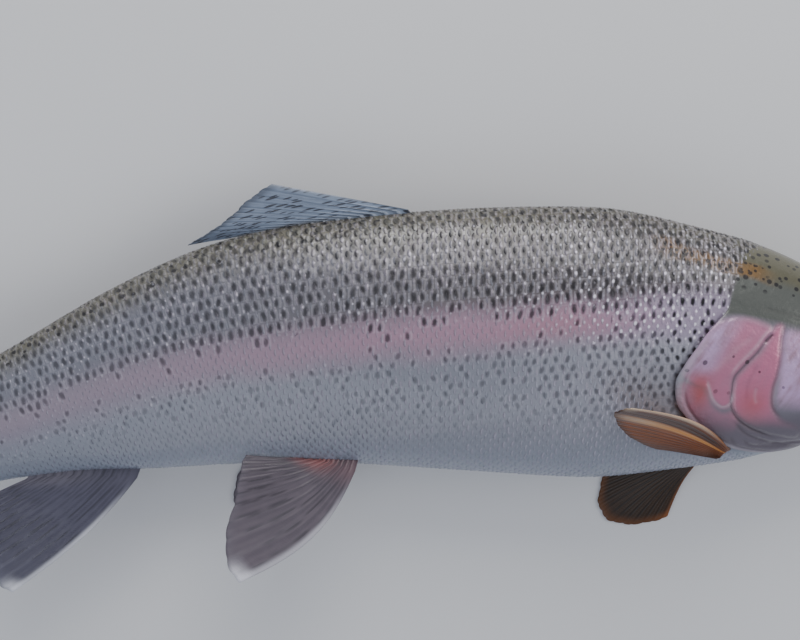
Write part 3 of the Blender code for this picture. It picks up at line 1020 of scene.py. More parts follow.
            # Painted shade: the front of each scale, under the edge of the scale ahead, is darkened
            under = (0.85 - rim * 0.5) * grown * (1 - abs(at.q).rise(0.90, 0.96))
            colour = s.tint(under, colour, s.blend(dx.rise(-0.45, -0.05), (0.42, 0.40, 0.44, 1), (1, 1, 1, 1)))
            colour = s.tint(0.5 - painted_glint * 0.4, colour, s.blend(hue, (0.80, 0.86, 0.86, 1), (1.0, 0.90, 0.98, 1)))
            metal = (0.20 + tone * 0.35) * (0.4 + shiny * 0.6) * (1 - dot) * (1 - painted_glint * 0.9)
            rough = 0.28 + at.fine * 0.14 + dot * 0.2
            relief = at.fine + dx * (tone - 0.5) * 9.0 + at.dy * (hue - 0.5) * 6.0
        else:
            # Bare skin: painted glints, painted shade in the head's grooves and gill slit, and its painted highlights
            # and pale lines
            colour = s.paint(colour, (painted_glint, painted_glint_colour), (at.dark * 0.85, self.painted_groove_shade), (at.pale * 0.6, self.glint))
            metal = 0.22 * shiny + at.rose * 0.15
            rough = 0.28 + at.fine * 0.12
            relief = at.fine + s.noise(at.place, 260.0, 3.0) * 2.0
        wires = {"Base Color": colour, "Metallic": metal, "Roughness": rough, "Coat Weight": 0.45}
        return s.finish(wires | {"Coat Roughness": 0.09, "IOR": 1.42}, relief, 0.00012)


# Head


@dataclass(frozen=True)
class Stroke:
    """A line on the side of the head that the skin is modelled along.

    path holds millimetres back from the snout and above the axis. height is the ridge, or below 0 the groove,
    at the line. step is how far the side on the left of the path, or the inside of a closed one, stands
    proud, and fall how far from the line that fades. dark is how much painted shade the line gets, mostly
    along its groove, and pale how much it is lightened: a painted highlight on a ridge, a pale line in a groove.
    """

    path: Path
    height: float = 0.0
    width: float = 0.8
    step: float = 0.0
    fall: float = 6.0
    closed: bool = False
    dark: float = 0.0
    pale: float = 0.0

    def field(self, points: Array) -> tuple[Array, Array]:
        """Signed distances from the line, and how strongly it is drawn there.

        Args:
            points: places on the side of the head, in millimetres.

        Returns:
            The distances and the strengths.
        """
        path = curve_through(self.path, self.closed)
        if not self.closed:
            far, along = measure(points, path)
            return far, rise(along, 0.0, 0.14) * rise(along, 1.0, 0.86)
        loop = np.vstack((path, path[:1]))
        far, _ = measure(points, loop)
        inside = np.zeros(len(points), bool)
        for (ax, ay), (bx, by) in zip(loop[:-1], loop[1:]):
            crossed = (ay > points[:, 1]) != (by > points[:, 1])
            inside ^= crossed & (points[:, 0] < (bx - ax) * (points[:, 1] - ay) / (by - ay + TINY) + ax)
        return np.abs(far) * np.where(inside, 1, -1), np.ones(len(points))

    def lift(self, points: Array) -> Array:
        """How far the skin stands out at points, in millimetres.

        Args:
            points: places on the side of the head, in millimetres.

        Returns:
            The heights.
        """
        far, strength = self.field(points)
        line = self.height * np.exp(-((far / self.width) ** 2))
        if self.closed:
            return line + self.step * rise(far, -self.width, self.width)
        proud = rise(far, -self.width / 2, self.width / 2) * np.exp(-np.maximum(far, 0) / self.fall)
        return (line + self.step * proud) * strength

    def colour(self, points: Array) -> tuple[Array, Array]:
        """How much painted shade and how much paleness the line puts at points.

        Args:
            points: places on the side of the head, in millimetres.

        Returns:
            0 to 1 for each.
        """
        far, strength = self.field(points)
        line = np.exp(-((far / (self.width * 0.75)) ** 2)) * strength
        return line * self.dark, line * self.pale


@dataclass(frozen=True)
class Head:
    """The modelling of the head: jaws, eye sockets, nostrils, cheek plates and gill covers."""

    eye_station: float = 0.074
    eye_height: float = 0.30
    eye_radius_mm: float = 5.9
    gill_rays: int = 6
    gill_angles: tuple[float, ...] = (0, 30, 47, 58, 70, 78, 85, 93, 101, 112, 118, 126, 138, 152, 165, 180)
    gill_rear: tuple[float, ...] = (
        0.1780, 0.1830, 0.1900, 0.1955, 0.2070, 0.2170, 0.2250, 0.2340, 0.2405, 0.2365, 0.2280, 0.2160, 0.1900,
        0.1560, 0.1250, 0.1050,
    )
    # Millimetres behind the gill cover's edge, then how far the skin there slides back and stands out
    gill_fold: tuple[tuple[float, float, float], ...] = (
        (-14, 0, 0), (-7, 0, 0.25), (-3.2, 0, 0.45), (-2.4, 0.1, 0.38), (-1.6, 0.3, 0.55), (-0.6, 0.8, 0.6),
        (-0.2, 0.9, 0.5), (0, 0.8, 0.25), (0.2, 0.2, -0.2), (0.4, -0.6, -0.6), (0.6, -0.9, -1.0),
        (1.0, -0.6, -1.15), (2.0, 0, -0.9), (4.0, 0, -0.45), (8.0, 0, 0),
    )
    opercle: Path = (
        (61.0, 11.5), (65, 13.2), (70.5, 14), (75.5, 13), (79.5, 10.5), (82.5, 7), (84.5, 3), (86.5, -2), (87.5, -6),
        (84, -8.5), (80.5, -9.5), (77.8, -13.6), (74.4, -16), (71.4, -14.6), (71.8, -10), (71.6, -5.5), (69.8, -2.7),
        (67.2, 0.6), (64.2, 4.4), (62.0, 8.6),
    )
    preopercle: Path = (
        (57.5, 12.6), (60, 11.5), (61, 9), (63.2, 4.4), (66.4, 0.4), (69, -3), (70.8, -5.8), (71, -12), (69.5, -17),
        (64, -21.5), (55, -24.5), (46, -25.5), (46, -22), (53, -19.5), (57, -15), (57.8, -9), (57, -3.4), (56.6, 2),
        (57, 6.6),
    )
    subopercle: Path = (
        (88, -8), (89, -13), (87, -18), (82, -23.5), (76, -27), (69, -25), (68, -20), (70.5, -17.5), (74, -18),
        (78, -15), (81, -10.5),
    )
    maxilla: Path = (
        (6, -1.2), (12, -1.6), (20, -3.4), (29, -6.8), (36, -9.6), (39.5, -12.4), (38.5, -15.8), (33, -15.2),
        (25, -11.8), (16, -7.6), (8, -4.6),
    )

    @cached_property
    def eye_place(self) -> tuple[float, float]:
        """Where the eye's middle is, in millimetres back and up."""
        top = float(FORM.station(self.eye_station)[0])
        return self.eye_station * FORM.length * 1000, top * self.eye_height * 1000

    @cached_property
    def strokes(self) -> tuple[Stroke, ...]:
        """Every line that the head is modelled along.

        Returns:
            The strokes, the jaws' first.
        """
        ex, ey = self.eye_place

        def ring(radius: float) -> Path:
            """A circle round the eye."""
            turns = [math.tau * k / 14 for k in range(14)]
            return tuple((ex + radius * math.cos(t), ey + radius * math.sin(t)) for t in turns)

        rays = []
        for k in range(self.gill_rays):
            start, end = 66 - 5.0 * k, 54 - 6.2 * k
            path = ((start + 4, -26 - 0.6 * k), (start, -30 + 0.5 * k), (end, -31.5 + 1.8 * k))
            rays.append(Stroke(path, -0.28, 0.7, dark=0.25))
        return (
            # Jaws: the gape, the lips, the upper jaw's blade and the groove over it
            Stroke(((-1, -2.0), (6, -4.2), (16, -8.2), (25, -12.6), (33, -16.0), (38, -17.6)), -1.5, 0.75, dark=1.0),
            Stroke(((0, -4.4), (6, -6.2), (16, -10.4), (25, -14.8), (33, -18.4)), 0.45, 1.3, pale=0.25),
            Stroke(((0, -0.2), (6, -1.6), (14, -5.0)), 0.35, 1.2, pale=0.2),
            Stroke(self.maxilla, 0.12, 0.7, step=0.55, closed=True),
            Stroke(((5, 0.0), (12, -0.6), (20, -2.4), (29, -5.8), (36, -8.6), (40, -11.5)), -0.35, 0.7, dark=0.45),
            Stroke(((39, -17), (41.5, -21), (39, -26), (33, -28)), -0.5, 0.9, dark=0.25),
            # Eye socket, lid rim and the bones round it
            Stroke(ring(self.eye_radius_mm), 0.0, 0.5, step=-2.2, closed=True),
            Stroke(ring(self.eye_radius_mm + 0.45), 0.38, 0.55, closed=True, dark=0.35),
            Stroke(ring(self.eye_radius_mm + 3.2), -0.16, 0.6, closed=True),
            Stroke(((19, 1), (22, -2.2), (28, -4.2), (35, -3.4), (40, -0.5), (44, 4)), -0.22, 0.7, dark=0.12),
            Stroke(((34, -3.8), (38, -8), (43, -11)), -0.18, 0.7, dark=0.10),
            Stroke(((36, 0.5), (42, -1.5), (48, -3)), -0.14, 0.6, dark=0.08),
            # Nostrils: two pits with a flap between them
            Stroke(((13.2, 9.0), (13.9, 9.2), (14.4, 9.0)), -1.0, 0.75, dark=1.0),
            Stroke(((16.6, 9.7), (17.4, 9.8), (18.0, 9.6)), -0.9, 0.8, dark=1.0),
            Stroke(((15.3, 8.2), (15.5, 9.4), (15.3, 10.4)), 0.45, 0.45, pale=0.3),
            # Cheek plates
            Stroke(self.preopercle, -0.10, 0.7, step=0.30, closed=True, dark=0.12),
            Stroke(((60, 11.6), (61.6, 9.2), (64.2, 4.2), (67, 0.6), (69.6, -2.7), (71.4, -5.8), (71.5, -10.5),
                    (71, -15), (68.5, -19.5), (62, -23.5), (52, -26.4)), -0.50, 0.60, dark=0.60),
            Stroke(((61.4, 12.2), (63.4, 9), (66, 4.8), (68.8, 1.4), (71.4, -2), (73, -5.4)), 0.20, 0.70, pale=0.30),
            Stroke(((60.0, 10.2), (61.4, 8.4), (62.6, 6.8)), -0.55, 0.55, dark=1.0),
            Stroke(((55.9, 13.6), (56.6, 10.6), (57, 6.6), (56.6, 2.1), (57, -3.4), (57.8, -9), (56.5, -15),
                    (52, -19)), -0.30, 0.80, dark=0.45),
            Stroke(self.opercle, 0.10, 0.8, step=0.25, closed=True),
            Stroke(((80.6, -6.0), (79.6, -9), (77.6, -13.4), (74.2, -15.8), (71.4, -14.2), (71.0, -9.9)),
                   -0.26, 0.60, pale=0.45),
            Stroke(((70, -20), (64, -25.2), (55, -28), (46, -29.4), (38, -28.6)), -0.35, 0.7, dark=0.35),
            Stroke(((76, 10), (73.5, 3), (75, -6)), 0.12, 2.0),
            Stroke(((66, 9), (72, 4), (79, -4)), -0.10, 1.2, pale=0.12),
            Stroke(((63.5, -8), (63.5, -11.5), (62.5, -14)), -0.16, 0.7, pale=0.2),
            Stroke(((64, 0), (66.5, -7), (66, -14)), -0.14, 0.9, dark=0.15),
            Stroke(((84, 2), (86.6, -5), (87.6, -12), (85, -18), (80, -23)), -0.22, 0.6, dark=0.15, pale=0.25),
            # Skull: the ridge over the eye, and the sensory canal along the temple
            Stroke(((17, 13.2), (24, 15.2), (32, 16.4), (40, 17.2)), 0.30, 1.6),
            Stroke(((38, 11.5), (46, 14.2), (56, 16.8), (66, 18.0)), -0.14, 0.8, dark=0.12),
            *rays,
        )

    def edge(self, angle: Array) -> Array:
        """Share of the length at which the gill cover ends, at any section angle."""
        return smooth_through(np.abs(angle), self.gill_angles, self.gill_rear)

    def slit(self, angle: Array) -> Array:
        """How open the gill slit is at a section angle."""
        angle = np.abs(angle)
        return rise(angle, 60.0, 76.0) * (1 - 0.75 * rise(angle, 150.0, 180.0))

    def folded(self, share: Array, angle: Array) -> tuple[Array, Array]:
        """How far the skin slides back and stands out by the gill slit, in millimetres.

        Args:
            share: shares of the standard length.
            angle: section angles in degrees.

        Returns:
            Steps back and steps out.
        """
        behind = (share - self.edge(angle)) * FORM.length * 1000
        p, slide, out = (np.array(column, float) for column in zip(*self.gill_fold))
        return np.interp(behind, p, slide) * self.slit(angle), np.interp(behind, p, out) * self.slit(angle)

    def sunk(self, share: Array, angle: Array) -> Array:
        """How far the skin lies inside the body, in metres, to leave room for the scales.

        Args:
            share: shares of the standard length.
            angle: section angles in degrees.

        Returns:
            The depths.
        """
        over = rise(np.abs(angle), 66.0, 54.0)
        behind = share - self.edge(angle) - 0.008 * over
        return SKIN_DEPTH * (0.15 + 0.85 * rise(behind, -0.004, 0.004 + 0.018 * over))

    def side_view(self, share: Array, angle: Array) -> Array:
        """Places in millimetres back from the snout and above the axis."""
        height = FORM.section(share, angle)[0]
        return np.stack((share * FORM.length * 1000, height * 1000), -1).reshape(-1, 2)

    def lift(self, share: Array, angle: Array) -> Array:
        """How far the skin of the head stands out, in metres, before the gill fold.

        Args:
            share: shares of the standard length.
            angle: section angles in degrees.

        Returns:
            The heights.
        """
        points = self.side_view(share, angle)
        total = sum(stroke.lift(points) for stroke in self.strokes)
        x, y = points.T
        flat_top = -1.0 * np.exp(-(((x - 34) / 16) ** 2)) * np.exp(-((np.abs(angle).ravel() / 34) ** 2))
        throat = 0.5 * np.exp(-(((np.abs(angle).ravel() - 180) / 9) ** 2)) * rise(x, 20, 40) * rise(x, 75, 50)
        cheek = 0.5 * np.exp(-(((x - 44) / 9) ** 2 + ((y + 8) / 7) ** 2))
        return (total + flat_top - throat + cheek).reshape(share.shape) * MM

    def cheek(self, share: Array, angle: Array) -> Array:
        """How rose, lilac and salmon the skin is.

        Args:
            share: shares of the standard length.
            angle: section angles in degrees.

        Returns:
            Three numbers from 0 to 1 for each place.
        """
        points = self.side_view(share, angle)

        def inside(outline: Path, soft: float) -> Array:
            """1 well inside an outline, fading over soft millimetres."""
            return rise(Stroke(outline, closed=True).field(points)[0], -soft, soft)

        x, y = points.T
        plates = np.maximum(inside(self.opercle, 1.8) * 0.85, inside(self.preopercle, 1.8) * rise(y, -23, -14))
        shin = rise(x, 57.5, 54) * rise(x, 36, 44) * rise(y, 13, 9) * rise(y, -17, -8)
        sheen = rise(x + 0.45 * y, 74, 82) * inside(self.opercle, 2.0) * rise(y, -8, -2)
        salmon = np.exp(-(((x - 82.5) / 3.2) ** 2 + ((y + 10.5) / 6) ** 2)) * 0.9
        salmon = salmon + np.exp(-(((x - 64) / 5) ** 2 + ((y + 14) / 5.5) ** 2)) * 0.6
        lobe = inside(self.subopercle, 1.5) * rise(y, -27, -14) * 0.6
        rose = np.maximum(plates, lobe) * (1 - 0.5 * sheen) + shin * 0.45
        lilac = np.clip(sheen * 0.8 + shin * 0.9, 0, 1)
        return np.stack((np.clip(rose, 0, 1), lilac, salmon), -1).reshape(*share.shape, 3)

    def relief(self, share: Array, angle: Array) -> Array:
        """The painted shade in the head's grooves and gill slit, and its painted highlights and pale lines.

        Args:
            share: shares of the standard length.
            angle: section angles in degrees.

        Returns:
            The painted shade, the paleness with a pale fringe of membrane by the gill slit, and whether the skin is
            bare of scales.
        """
        points = self.side_view(share, angle)
        dark, pale = np.zeros(len(points)), np.zeros(len(points))
        for stroke in self.strokes:
            more_dark, more_pale = stroke.colour(points)
            dark, pale = np.maximum(dark, more_dark), np.maximum(pale, more_pale)
        behind = (points[:, 0] / 1000 / FORM.length - self.edge(angle).ravel()) * FORM.length * 1000
        open_slit = self.slit(angle).ravel()
        # Painted shadow in the open gill slit, and beside it a pale fringe of membrane
        slit = np.exp(-(((behind - 0.7) / 0.6) ** 2)) * open_slit
        fringe = np.exp(-(((behind + 1.1) / 0.9) ** 2)) * open_slit * 0.35 * rise(np.abs(angle).ravel(), 72, 90)
        over = rise(np.abs(angle).ravel(), 66, 54)
        bare = rise(behind - 2.2 * over, 0.5 + 0.8 * over, 0.1 - 0.8 * over)
        return np.stack((np.maximum(dark, slit), np.maximum(pale, fringe), bare), -1).reshape(*share.shape, 3)


HEAD = Head()


@dataclass(frozen=True)
class Skin:
    """One closed skin from the snout to the root of the tail fin."""

    head_rows: int = 208
    body_rows: int = 80
    columns: int = 320
    clearance: float = 0.0003
    name: str = "skin"

    def spread(self, count: int, weights: Array) -> Array:
        """Places from 0 to 1, closer together where the weights are greater.

        Args:
            count: how many places.
            weights: how close they are, at even steps.

        Returns:
            The places.
        """
        total = np.concatenate(([0.0], np.cumsum(weights)))
        return np.interp(np.linspace(0, 1, count), total / total[-1], np.linspace(0, 1, len(total)))

    def grid(self) -> tuple[Array, Array]:
        """Where the skin's points lie: close together at the snout and at the gill cover's edge.

        Returns:
            Shares of the standard length, and section angles, for each row and column.
        """
        t = np.linspace(0, 1, 2000)
        head = self.spread(self.head_rows, 1 + 8 * np.exp(-t / 0.015) + 7 * np.exp((t - 1) / 0.012))
        body = self.spread(self.body_rows, 1 + 22 * np.exp(-t / 0.004) + 5 * np.exp((t - 1) / 0.02))[1:]
        half = self.spread(self.columns // 2 + 1, 0.5 + rise(t, 0.26, 0.36) * rise(t, 0.86, 0.76))[:-1] * 180
        angle = np.concatenate((half, 180 + (180 - np.append(half[1:], 180))[::-1]))
        angle = np.where(angle > 180, angle - 360, angle)
        edge = HEAD.edge(angle)
        share = np.vstack((np.outer(head, edge), edge + np.outer(body, FORM.stem_end - edge)))
        share[0] = 0.0004
        return share, np.broadcast_to(angle, share.shape)

    def build(self) -> Shape:
        """Models the grid's points into the body and the head, and closes both ends.

        Returns:
            The closed skin, with everything its finish reads.
        """
        share, angle = self.grid()
        lift = np.zeros(share.shape)
        front = share < 0.30
        lift[front] = HEAD.lift(share[front], angle[front])
        slide, out = HEAD.folded(share, angle)
        moved = share + slide * MM / FORM.length
        points = FORM.surface(moved, angle)
        depth = lift + out * MM - HEAD.sunk(share, angle)
        points = points + FORM.normal(moved, angle) * (depth * rise(share, 0.0, 0.004))[..., None]
        girth, q = FORM.girth_at(share, angle)
        flow = LATTICE.flatten(share, girth)
        left = np.where(angle < 0, LEFT_ROWS, 0.0)
        rows, columns = share.shape
        faces = grid_faces(rows, columns, around=True)
        tip, end = points[0].mean(0) - FORM.directions(0.0)[0] * 0.00015, points[-1].mean(0)
        flat = {
            "OFBake": np.stack(bake_place(share, angle), -1),
            "Flow": np.stack((flow[0] / LATTICE.pitch, flow[1] / LATTICE.row + left), -1),
        }
        marks = {
            "lie": np.stack((share, girth * 1000, q), -1),
            "cheek": np.zeros((*share.shape, 3)),
            "relief": np.zeros((*share.shape, 3)),
        }
        marks["cheek"][front] = HEAD.cheek(share[front], angle[front])
        marks["relief"][front] = HEAD.relief(share[front], angle[front])
        for hub, row, way in ((rows * columns, 0, -1), (rows * columns + 1, rows - 1, 1)):
            ring = [row * columns + j for j in range(columns)]
            faces += [(hub, a, b)[::way] for a, b in zip(ring, ring[1:] + ring[:1])]

        def with_hubs(values: Array) -> Array:
            """Values of the grid, then those of the two ends."""
            return np.vstack((values.reshape(-1, values.shape[-1]), values[0].mean(0), values[-1].mean(0)))

        all_points = rest_on_floor(np.vstack((points.reshape(-1, 3), tip, end)), self.clearance)
        return Shape(all_points, faces, {k: with_hubs(v) for k, v in flat.items()},
                     {k: with_hubs(v) for k, v in marks.items()}, wrapped=("OFBake",)).outward()

    def dress(self) -> None:
        """Adds the skin in place of every solid of flesh."""
        piece = self.build().piece(self.name, Markings().material("wet_skin", scaled=False))
        settle(piece, "body_skin", "head", "lower_jaw", "gill_cover_right", "gill_cover_left",
               "trunk_front", "trunk_middle", "trunk_rear", "tail_stem")


# Scales


@dataclass(frozen=True)
class Scales:
    """The coat of overlapping scales, grown flat in rows and then laid on the body."""

    half_width: float = 0.00212
    root_half_width: float = 0.00135
    root: float = -0.0020
    tip: float = 0.0019
    rise_at_tip: float = 0.00030
    sink_at_root: float = 0.00012
    droop: float = 0.00013
    skirt: float = 0.00022
    # Share of the way to the tip of each row of points, and how much of a scale's rim it is; the last is the skirt
    plate_rows: Path = ((0.0, 0.0), (0.45, 0.15), (0.8, 0.55), (1.0, 1.0), (1.0, 1.0))
    across: int = 7
    half_rows: int = 46
    last_share: float = 1.014
    tilt: float = 1.1
    turn: float = 4.0
    spread: float = 0.05
    seed: int = 7
    bounds: tuple[float, ...] = (0.0, 0.36, 0.56, 1.03)
    names: tuple[str, ...] = ("front", "middle", "rear")

    def plate(self) -> bpy.types.Object:
        """One scale, its middle at the origin, pointing along +X and facing +Z.

        Returns:
            The scale, from its root under the one before to the skirt below its tip.
        """
        across = np.linspace(-1, 1, self.across)
        count = len(self.plate_rows)
        rows = []
        for k, (t, _) in enumerate(self.plate_rows):
            y = across * mix(self.root_half_width, self.half_width, smoothstep(t * 1.4))
            rear = self.tip * np.sqrt(np.maximum(1 - (y / self.half_width * 0.985) ** 2, 0))
            x = self.root + (rear - self.root) * t
            slope = (self.rise_at_tip + self.sink_at_root) * (x - self.root) / (self.tip - self.root)
            z = -self.sink_at_root + slope - self.droop * (y / self.half_width) ** 2
            if k == count - 1:
                x, y, z = x - 0.00006, y * 0.99, z - self.skirt
            rows.append(np.stack((x, y, z), -1))
        rim = np.repeat([share for _, share in self.plate_rows], self.across)
        faces = [face[::-1] for face in grid_faces(count, self.across)]
        shape = Shape(np.array(rows).reshape(-1, 3), faces, {}, {"rim": np.stack((rim, rim, rim), -1)})
        return shape.piece("scale_plate", bpy.data.materials.new("scale_plate"))

    def tree(self) -> bpy.types.NodeTree:
        """The nodes that set a plate on every root, a little tilted and a little uneven in size.

        Returns:
            The tree, with a socket for each thing that may vary.
        """
        tree = bpy.data.node_groups.new("scale_coat", "GeometryNodeTree")
        for name, kind in (("Roots", "Geometry"), ("Plate", "Object"), ("Finish", "Material"),
                           ("Tilt", "Vector"), ("Least size", "Float"), ("Most size", "Float"), ("Seed", "Int")):
            tree.interface.new_socket(name, in_out="INPUT", socket_type=f"NodeSocket{kind}")
        tree.interface.new_socket("Coat", in_out="OUTPUT", socket_type="NodeSocketGeometry")

        def add(kind: str, **settings: Any) -> bpy.types.Node:
            """A node with its settings.

            Args:
                kind: the node's type.
                settings: its properties.

            Returns:
                The node.
            """
            node = tree.nodes.new(kind)
            for key, value in settings.items():
                setattr(node, key, value)
            return node

        given, out = add("NodeGroupInput"), add("NodeGroupOutput")
        plate = add("GeometryNodeObjectInfo")
        back = add("ShaderNodeVectorMath", operation="SCALE")
        back.inputs["Scale"].default_value = -1.0
        tilt = add("FunctionNodeRandomValue", data_type="FLOAT_VECTOR")
        size = add("FunctionNodeRandomValue", data_type="FLOAT")
        turn = add("FunctionNodeEulerToRotation")
        coat, real = add("GeometryNodeInstanceOnPoints"), add("GeometryNodeRealizeInstances")
        dress = add("GeometryNodeSetMaterial")
        for source, target in (
            (given.outputs["Plate"], plate.inputs["Object"]), (given.outputs["Tilt"], back.inputs[0]),
            (back.outputs[0], tilt.inputs[0]), (given.outputs["Tilt"], tilt.inputs[1]),
            (given.outputs["Seed"], tilt.inputs["Seed"]), (given.outputs["Seed"], size.inputs["Seed"]),
            (given.outputs["Least size"], size.inputs[2]), (given.outputs["Most size"], size.inputs[3]),
            (tilt.outputs[0], turn.inputs[0]), (given.outputs["Roots"], coat.inputs["Points"]),
            (plate.outputs["Geometry"], coat.inputs["Instance"]), (turn.outputs[0], coat.inputs["Rotation"]),
            (size.outputs[1], coat.inputs["Scale"]), (coat.outputs[0], real.inputs[0]),
            (real.outputs[0], dress.inputs["Geometry"]), (given.outputs["Finish"], dress.inputs["Material"]),
            (dress.outputs[0], out.inputs[0]),
        ):
            tree.links.new(source, target)
        return tree

    def start(self, angle: Array) -> Array:
        """Share of the length at which scales begin, at a section angle of the right flank.

        Args:
            angle: section angles from 0 to 180.

        Returns:
            The shares.
        """
        over = smooth_through(np.clip(angle, 0, 58), (0, 30, 47, 58), (0.166, 0.176, 0.192, 0.202))
        behind = HEAD.edge(angle) + 0.0066
        under = mix(HEAD.edge(angle) + 0.010, 0.150, rise(angle, 152, 172))
        return np.where(angle < 58, over, np.where(angle < 152, behind, under))

    def roots(self, side: Side, low: float, high: float) -> tuple[Array, Array]:
        """Flat places of the scales of one flank between two shares of the length, and their cells.

        Args:
            side: the flank.
            low: the first share.
            high: the share that ends them.

        Returns:
            The places and the cells.
        """
        x_low, x_high = np.interp((low, high), *LATTICE.flat)
        columns = np.arange(math.ceil(x_low / LATTICE.pitch), math.ceil(x_high / LATTICE.pitch))
        rows = np.arange(-self.half_rows, self.half_rows + 1)
        column, row = (a.ravel().astype(float) for a in np.meshgrid(columns, rows))
        column = column + 0.5 * (row % 2)
        share, girth = LATTICE.unflatten(column * LATTICE.pitch, row * LATTICE.row)
        up, down = FORM.runs(share)
        angle = FORM.angle_at(share, np.clip(girth, -down, up))
        edge = LATTICE.row * LATTICE.size(share) * 0.5
        ragged = 0.0035 * np.sin(row * 2.7 + np.round(column) * 1.3) * rise(angle, 62, 50)
        kept = (girth < up + edge * 0.6) & (girth > -down - edge * 0.6)
        kept &= (share > self.start(angle) + ragged) & (share < self.last_share)
        cell = np.stack((column, row), -1)[kept]
        return np.column_stack((cell * (LATTICE.pitch, LATTICE.row), np.zeros(len(cell)))), cell

    def wrap(self, made: bpy.types.Mesh, side: Side) -> Shape:
        """Lays a flat coat on the body.

        Args:
            made: the flat coat, each point knowing its scale's middle.
            side: the flank that it is for.

        Returns:
            The coat's shape, with everything its finish reads.
        """
        count = len(made.vertices)
        flat, cell, rim = np.zeros(count * 3), np.zeros(count * 3), np.zeros(count * 3)
        made.vertices.foreach_get("co", flat)
        made.attributes["cell"].data.foreach_get("vector", cell)
        made.attributes["rim"].data.foreach_get("vector", rim)
        flat, cell, rim = flat.reshape(-1, 3), cell.reshape(-1, 3)[:, :2], rim.reshape(-1, 3)
        middle = cell * (LATTICE.pitch, LATTICE.row)
        root_share, root_girth = LATTICE.unflatten(*middle.T)
        share = LATTICE.unflatten(flat[:, 0], flat[:, 1])[0]
        size = LATTICE.size(root_share)
        girth = root_girth + (flat[:, 1] - middle[:, 1]) * size
        angle = FORM.angle_at(share, girth)
        root_angle = FORM.angle_at(root_share, root_girth)
        girth, q = FORM.girth_at(share, angle)
        grown = rise(root_share - self.start(np.abs(root_angle)), -0.004, 0.016) * rise(root_share, 1.016, 0.996)
        out = flat[:, 2] * size * mix(0.3, 1.0, grown) - mix(0.00008, 0.0, grown)
        out = out - HEAD.sunk(share, angle) + HEAD.folded(share, angle)[1] * MM
        rim = np.column_stack((rim[:, 0], grown, 0 * grown))
        signed = angle * side.value
        points = rest_on_floor(FORM.surface(share, signed) + FORM.normal(share, signed) * out[:, None])
        local = (flat[:, :2] - middle) / (self.tip - self.root) * BAKE_PATCH * (1, side.value)
        laid = np.stack(bake_place(root_share, root_angle * side.value), -1) + local
        first_row = (0, 0.0 if side is Side.RIGHT else LEFT_ROWS)
        flow = flat[:, :2] / (LATTICE.pitch, LATTICE.row)
        faces = [tuple(p.vertices)[:: side.value] for p in made.polygons]
        maps = {"OFBake": laid, "Flow": flow + first_row, "Cell": cell + first_row}
        return Shape(points, faces, maps, {"lie": np.stack((share, girth * 1000, q), -1), "rim": rim})

    def dress(self) -> None:
        """Adds the coat, in pieces for each flank and length of the body."""
        finish = Markings().material("wet_scales", scaled=True)
        plate, tree = self.plate(), self.tree()
        tilt = tuple(math.radians(a) for a in (self.tilt, self.tilt, self.turn))
        for side in Side:
            for name, low, high in zip(self.names, self.bounds, self.bounds[1:]):
                places, cell = self.roots(side, low, high)
                seeds = Shape(places, [], {}, {"cell": np.column_stack((cell, 0 * cell[:, 0]))}).piece("roots", finish)
                coat = seeds.modifiers.new("coat", "NODES")
                coat.node_group = tree
                values = {"Plate": plate, "Finish": finish, "Tilt": tilt, "Least size": 1 - self.spread,
                          "Most size": 1 + self.spread, "Seed": self.seed + side.value}
                for socket in tree.interface.items_tree:
                    if socket.name in values:
                        coat[socket.identifier] = values[socket.name]
                bpy.context.view_layer.update()
                made = bpy.data.meshes.new_from_object(seeds.evaluated_get(bpy.context.evaluated_depsgraph_get()))
                bpy.data.objects.remove(seeds)
                piece = self.wrap(made, side).piece(f"scales_{side.name.lower()}_{name}", finish)
                settle(piece, "body_skin")
        bpy.data.objects.remove(plate)


# Fins


